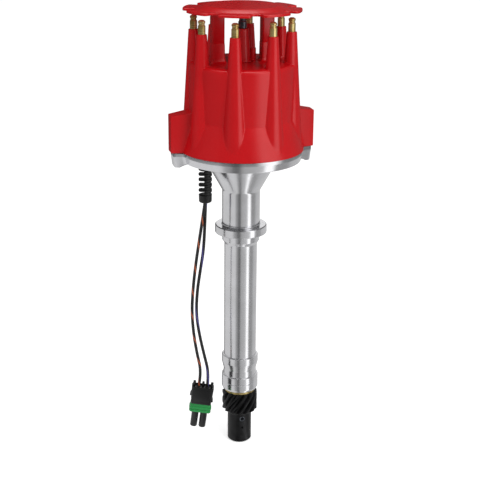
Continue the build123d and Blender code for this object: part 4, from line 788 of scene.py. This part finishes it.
# ---- Wire retainer ----

PETAL_RADIUS = 48.8
SCALLOP_RADIUS = 4.7
SCALLOP_CIRCLE = 43.3
PETAL_CORNER = 3.0


def petal_outline():
    """Closed outline of the eight petals: per half petal a quarter of the scallop's circle, a
    straight side, a corner arc that touches the side and the rim, and an arc of the rim."""
    across = SCALLOP_RADIUS + PETAL_CORNER
    along = np.sqrt((PETAL_RADIUS - PETAL_CORNER) ** 2 - across ** 2)
    angle = np.arctan2(across, along)
    corner = np.array([along, across])
    scallop = np.linspace(np.pi, np.pi / 2, 12)
    fillet = np.linspace(-np.pi / 2, angle, 10)
    rim = np.linspace(angle, np.pi / 8, 8)[1:]
    half = np.vstack([
        np.column_stack([SCALLOP_CIRCLE + SCALLOP_RADIUS * np.cos(scallop),
                         SCALLOP_RADIUS * np.sin(scallop)]),
        corner + PETAL_CORNER * np.column_stack([np.cos(fillet), np.sin(fillet)]),
        PETAL_RADIUS * np.column_stack([np.cos(rim), np.sin(rim)])])
    petal = np.vstack([half[1:][::-1] * [1, -1], half])[1:]
    return np.vstack([petal @ rotation(turn) for turn in np.arange(8) * np.pi / 4])


def make_wire_retainer():
    """Low crown inside eight petals: rows are circles on the crown and insets of the petal
    outline along its normals at the rim. Two square legs with pegs carry it."""
    outline = petal_outline()
    step = np.roll(outline, -1, axis=0) - np.roll(outline, 1, axis=0)
    normal = np.column_stack([step[:, 1], -step[:, 0]]) / np.linalg.norm(step, axis=1)[:, None]
    unit = outline / np.linalg.norm(outline, axis=1)[:, None]
    rows = [(0, radius, 194.0) for radius in (4.0, 18.0, 28.0, 29.0)]
    rows += [(0, 30.2, 193.9), (0, 31.5, 193.6), (0, 36.2, 191.95), (0, 37.2, 191.6),
             (0, 37.8, 191.45)]
    rim_turn = np.linspace(0, np.pi / 2, 5)
    rows += [(1, 0.5 - 0.5 * np.sin(a), 190.9 + 0.5 * np.cos(a)) for a in rim_turn]
    rows += [(1, 0.4 - 0.4 * np.cos(a), 189.8 - 0.4 * np.sin(a)) for a in rim_turn]
    rows += [(0, 37.9, 189.4), (0, 32.0, 189.4), (0, 31.6, 189.7), (0, 31.5, 191.1),
             (0, 31.1, 191.4), (0, 16.0, 191.4), (0, 3.0, 191.4)]
    grid = np.array([np.column_stack([unit * amount if kind == 0 else outline - normal * amount,
                                      np.full(len(outline), height)])
                     for kind, amount, height in rows])
    parts = [closed_surface(grid)]
    for side in (-1, 1):
        place = (side * PEDESTAL_X, 0)
        leg = [(PEDESTAL_TOP_Z, -0.15), (163.7, 0), (190.0, 0), (190.7, 0.4), (191.2, 1.2),
               (191.7, 1.2)]
        parts.append(closed_surface(rounded_loft(5.1, 5.1, 1.3, leg, place, 8)))
        peg = [(2.0, 158.5), (2.4, 158.9), (2.4, 165.0)]
        parts.append(closed_surface(lathe(peg, 28, place)))
    add_piece("retainer_moulding", *joined(parts), RED_POLYESTER, "wire_retainer",
              "red_moulding", 40.0)


make_wire_retainer()

# ---- Housing ----

FLANGE_RADIUS = 51.5


def make_housing(columns=480):
    """Turned housing: a profile carried once round the Z axis and closed through its bore. In the
    flange's rows the radius is a smooth maximum of the rim's and the two ears'."""
    profile = with_supports(rounded_profile([
        (8.6, -147.3, 0), (15.3, -147.3, 0.25), (16.2, -145.4, 0.6), (16.2, -140.45, 0.3),
        (15.75, -140.15, 0.15), (15.75, -139.85, 0.15), (16.2, -139.55, 0.3), (16.2, -133.4, 0.9),
        (14.6, -133.4, 0.5), (14.6, -127.8, 1.5), (16.2, -121.2, 0.8), (16.2, -114.6, 0.9),
        (14.25, -114.6, 0.5), (14.25, -9.5, 0.6), (16.1, -6.5, 0.3), (16.1, 0.0, 0.2),
        (22.4, 0.0, 1.1), (22.4, 7.5, 1.1), (16.3, 7.5, 0.6), (16.3, 38.2, 3.0), (31.4, 65.5, 0.6),
        (50.3, 65.5, 0.5), (FLANGE_RADIUS, 71.3, 0.5), (FLANGE_RADIUS, 74.5, 0.4),
        (47.5, 74.5, 0.3), (47.5, 69.0, 0.6), (14.32, 69.0, 0.4), (14.32, 66.8, 0),
        (15.19, 66.75, 0), (15.19, 65.65, 0), (14.32, 65.6, 0), (14.32, 57.5, 0), (12.1, 57.5, 0),
        (12.1, 55.5, 0), (7.4, 55.5, 0), (7.4, -109.3, 0), (8.6, -109.31, 0),
        (8.6, -147.2, 0)], 4), 0.2, 12.0)
    angles = once_round(columns)
    ear, _ = ear_reach(angles, HOUSING_EAR_END, 1.0, HOUSING_EAR_FLARE)
    radius = profile[:, 0, None]
    height = profile[:, 1, None]
    share = np.clip((radius - 48.9) / 1.2, 0, 1) * (height > 65.0)
    rim = smooth_max(np.full_like(ear, FLANGE_RADIUS), ear, 1.5)
    grown = radius + share * (rim - FLANGE_RADIUS)
    under = share * (height < 67.0) * np.clip((ear - FLANGE_RADIUS) / 5.0, 0, 1)
    grid = polar_grid(grown, angles, height - HOUSING_EAR_DROP * under)
    add_piece("turned_housing", *closed_surface(grid, ring=True), ALUMINIUM, "housing",
              "aluminium_turned", 30.0, screw_holes(2.43, 58.0, 80.0, 32))


make_housing()

# ---- Gear ----

TEETH = 13
HELIX_ANGLE = np.radians(36)


def make_gear():
    """Helical gear: the tooth outline's radius at angle u is carried up Z while it turns by
    face tan(helix) / pitch radius, and cones cut the teeth's ends. A plain hub goes below."""
    root, tip, top, face = 12.3, 15.75, -150.3, 19.9
    twist = face * np.tan(HELIX_ANGLE) / ((root + tip) / 2)
    share = np.array([
        -0.5, -0.42, -0.35, -0.32, -0.28, -0.24, -0.18, -0.14, -0.12, -0.09, -0.03, 0.03, 0.09,
        0.12, 0.14, 0.18, 0.24, 0.28, 0.32, 0.35, 0.42])
    form = np.interp(np.abs(share), [0, 0.11, 0.135, 0.24, 0.31, 0.36, 0.5],
                     [tip, tip, tip - 0.25, (root + tip) / 2, root + 0.25, root, root])
    around = (np.arange(TEETH)[:, None] + share).ravel() * 2 * np.pi / TEETH
    form = np.tile(form, TEETH)
    z = top - face + np.concatenate([
        [0.0, 0.5, 1.0, 1.5, 2.0], np.linspace(2.6, 17.9, 26), [18.3, 18.7, 19.1, 19.5, 19.9]])
    limit = np.interp(z - top + face, [0.0, 1.8, 18.3, 19.9],
                      [root - 0.4, tip + 0.1, tip + 0.1, root + 1.6])
    angle = around + twist * ((z - top + face) / face)[:, None]
    teeth = polar_grid(np.minimum(form, limit[:, None]), angle, z[:, None])
    profile = with_supports(rounded_profile([
        (6.38, top, 0), (6.38, -199.7, 0.3), (9.2, -199.7, 0.4), (10.7, -198.2, 0.4),
        (10.7, -171.9, 0.6), (11.9, -170.2, 0)], 4), 0.2, 10.0)
    hub = polar_grid(profile[:, 0, None], around, profile[:, 1, None])
    pin_hole = lathe([(2.41, -14.0), (2.41, 14.0)], 40)
    dimple = lathe([(1.0, 9.4), (1.0, 14.0)], 24)
    cutters = []
    for hole, height in ((pin_hole, -176.0), (dimple, -184.5)):
        lying = np.stack([hole[..., 0], -hole[..., 2], hole[..., 1] + height], axis=-1)
        cutters.append(closed_surface(lying))
    add_piece("helical_gear", *closed_surface(np.vstack([hub, teeth]), ring=True), GEAR_IRON,
              "drive_gear", "gear_black", 30.0, cutters, "shaft")


make_gear()

# ---- Floor, light tent and lamps ----

CAMERA_SIDE = np.arctan2(-np.cos(CAMERA_AZIMUTH), np.sin(CAMERA_AZIMUTH))
FLOOR_HALF_WIDTH = 4.5
FLOOR_Z = -0.19972
FLOOR_LIFT = 0.53            # glow that only the camera sees
TENT_SIDES = 96
TENT_RADIUS = 0.14
TENT_HEIGHTS = (-0.1995, 0.35)
CARD_SIDES = 12
CARD_RADIUS = 0.139
CARD_HEIGHTS = (-0.199, 0.105)
# the tent's V is a height in metres up to this value; above it, V is the shade itself
LARGEST_HEIGHT = 0.9
LID_SHADE = 2.3
CARD_SHADE = 0.95
MOULDING_FROM = (0.0485, 0.0525)
# shades of the tent by the angle from the camera's side, in degrees: what the metal sees, and
# what the moulding above it sees
METAL_STOPS = [
    (-180, 0.2), (-142, 0.22), (-130, 0.74), (-34, 0.78), (-27, 0.42), (-17, 0.34), (-13, 0.17),
    (-3, 0.17), (2, 0.5), (24, 0.58), (38, 0.66), (42, 1.6), (56, 1.6), (61, 0.34), (88, 0.4),
    (98, 0.6), (150, 0.68), (180, 0.56)]
MOULDING_STOPS = [
    (-180, 0.03), (-60, 0.05), (22, 0.06), (36, 1.55), (56, 1.55), (70, 0.2), (120, 0.14),
    (180, 0.05)]


def make_floor():
    """Pale floor under the gear."""
    material = bpy.data.materials.new("pale_paper_floor")
    material.use_nodes = True
    tree = material.node_tree
    bsdf = tree.nodes["Principled BSDF"]
    bsdf.inputs["Base Color"].default_value = linear("#F4F4F4")
    bsdf.inputs["Roughness"].default_value = 0.9
    path = add_node(tree, "LightPath")
    lift = add_node(tree, "Math", {"operation": "MULTIPLY", 1: FLOOR_LIFT},
                    {0: path.outputs["Is Camera Ray"]})
    bsdf.inputs["Emission Color"].default_value = (1, 1, 1, 1)
    tree.links.new(lift.outputs[0], bsdf.inputs["Emission Strength"])
    floor = bpy.data.meshes.new("floor")
    corners = np.array([(-1, -1), (1, -1), (1, 1), (-1, 1)]) * FLOOR_HALF_WIDTH
    floor.from_pydata(np.column_stack([corners, np.full(4, FLOOR_Z)]).tolist(), [],
                      [(0, 1, 2, 3)])
    floor.materials.append(material)
    return new_object("floor", floor)


def make_tent_material():
    """Glow by the angle round the object, from one ramp at the metal's height and from another
    above it. Where V is a shade, it is the glow."""
    material = bpy.data.materials.new("light_tent")
    material.use_nodes = True
    tree = material.node_tree
    tree.nodes.remove(tree.nodes["Principled BSDF"])
    uv = add_node(tree, "UVMap", {"uv_map": "tent"})
    place = add_node(tree, "SeparateXYZ", links={"Vector": uv.outputs["UV"]})
    ramps = []
    for stops in (METAL_STOPS, MOULDING_STOPS):
        shades = add_node(tree, "ValToRGB", links={"Fac": place.outputs["X"]})
        while len(shades.color_ramp.elements) < len(stops):
            shades.color_ramp.elements.new(1.0)
        for element, (angle, shade) in zip(shades.color_ramp.elements, stops):
            element.position = (angle + 180) / 360
            element.color = (shade, shade, shade, 1.0)
        ramps.append(shades.outputs["Color"])
    high = add_node(tree, "MapRange",
                    {"From Min": MOULDING_FROM[0], "From Max": MOULDING_FROM[1]},
                    {"Value": place.outputs["Y"]})
    shade = add_node(tree, "Mix", {"data_type": "RGBA"},
                     {0: high.outputs["Result"], 6: ramps[0], 7: ramps[1]})
    direct = add_node(tree, "Math", {"operation": "GREATER_THAN", 1: LARGEST_HEIGHT},
                      {0: place.outputs["Y"]})
    whole = add_node(tree, "Mix", {"data_type": "RGBA"},
                     {0: direct.outputs[0], 6: shade.outputs[2], 7: place.outputs["Y"]})
    glow = add_node(tree, "Emission", links={"Color": whole.outputs[2]})
    tree.links.new(glow.outputs["Emission"], tree.nodes["Material Output"].inputs["Surface"])
    material.cycles.emission_sampling = "NONE"
    return material


def arc_strip(angles, edges):
    """Points and quads between arcs about the Z axis, one arc for each (radius, height)."""
    circle = np.column_stack([np.cos(angles), np.sin(angles)])
    count = len(angles)
    points = np.vstack([np.column_stack([circle * radius, np.full(count, height)])
                        for radius, height in edges])
    index = np.arange(count - 1)
    quads = np.column_stack([index, index + 1, index + count + 1, index + count])
    return points, np.vstack([quads + count * row for row in range(len(edges) - 1)]).tolist()


def make_tent():
    """Can that only reflections see: a wall between a disc on the floor and a bright lid, and a
    pale card behind the object, low enough to be seen only by level faces of the metal."""
    material = make_tent_material()
    foot, lid = TENT_HEIGHTS
    can = arc_strip(CAMERA_SIDE + np.linspace(-np.pi, np.pi, TENT_SIDES + 1),
                    [(0.002, foot), (TENT_RADIUS, foot), (TENT_RADIUS, lid), (0.002, lid)])
    card = arc_strip(CAMERA_SIDE + np.pi + np.linspace(-0.3, 0.3, CARD_SIDES + 1),
                     [(CARD_RADIUS, height) for height in CARD_HEIGHTS])
    points, faces = joined([can, card])
    tent = bpy.data.meshes.new("light_tent")
    tent.from_pydata(points.tolist(), [], faces)
    index = np.arange(TENT_SIDES)
    around = np.stack([index, index + 1, index + 1, index], axis=1) / TENT_SIDES
    # the line between the two shades lies lower at the sides, where reflected rays run farther
    lower = 0.010 * np.minimum(np.abs(around - 0.5) * 3, 1)
    height = np.vstack([
        np.full((TENT_SIDES, 4), -0.2), np.array([foot, foot, lid, lid]) + lower,
        np.full((TENT_SIDES, 4), LID_SHADE), np.full((CARD_SIDES, 4), CARD_SHADE)])
    turn = np.vstack([around, around, around, around[:CARD_SIDES]])
    layer = tent.uv_layers.new(name="tent")
    layer.data.foreach_set("uv", np.stack([turn, height], axis=-1).ravel())
    tent.materials.append(material)
    tent_object = new_object("light_tent", tent)
    for kind in ("camera", "diffuse", "shadow", "transmission", "volume_scatter"):
        setattr(tent_object, "visible_" + kind, False)
    return tent_object


def make_lamp(name, side_degrees, elevation, distance, size, watts):
    """Area lamp that faces the object's middle, by its angle from the camera's side. The tent
    takes its place in reflections."""
    data = bpy.data.lights.new(name, "AREA")
    data.shape = "RECTANGLE"
    data.size, data.size_y = size
    data.energy = watts
    lamp = new_object(name, data)
    lamp.visible_glossy = False
    azimuth = CAMERA_SIDE + np.radians(side_degrees)
    lift = np.radians(elevation)
    aim = Vector((np.cos(azimuth) * np.cos(lift), np.sin(azimuth) * np.cos(lift), np.sin(lift)))
    facing = aim.to_track_quat("Z", "Y").to_matrix().to_4x4()
    lamp.matrix_world = Matrix.Translation(aim * distance) @ facing


def make_world():
    """World that lights softly, and is white to the camera and in reflections."""
    world = bpy.data.worlds.new("studio")
    world.use_nodes = True
    scene.world = world
    tree = world.node_tree
    background = tree.nodes["Background"]
    path = add_node(tree, "LightPath")
    seen = add_node(tree, "Math", {"operation": "MAXIMUM"},
                    {0: path.outputs["Is Camera Ray"], 1: path.outputs["Is Glossy Ray"]})
    seen_through = add_node(tree, "Math", {"operation": "MAXIMUM"},
                            {0: seen.outputs[0], 1: path.outputs["Is Transmission Ray"]})
    strength = add_node(tree, "Math", {"operation": "MULTIPLY_ADD", 1: 0.5, 2: 0.5},
                        {0: seen_through.outputs[0]})
    background.inputs["Color"].default_value = (1, 1, 1, 1)
    tree.links.new(strength.outputs[0], background.inputs["Strength"])


floor_object = make_floor()
tent_object = make_tent()
make_lamp("key_lamp", 38, 32, 1.2, (0.5, 0.9), 5.5)
make_lamp("fill_lamp", -62, 18, 1.4, (1.0, 1.0), 2.2)
make_lamp("top_lamp", 10, 78, 1.2, (0.8, 0.8), 4.6)
make_world()
scene.view_settings.view_transform = "Standard"
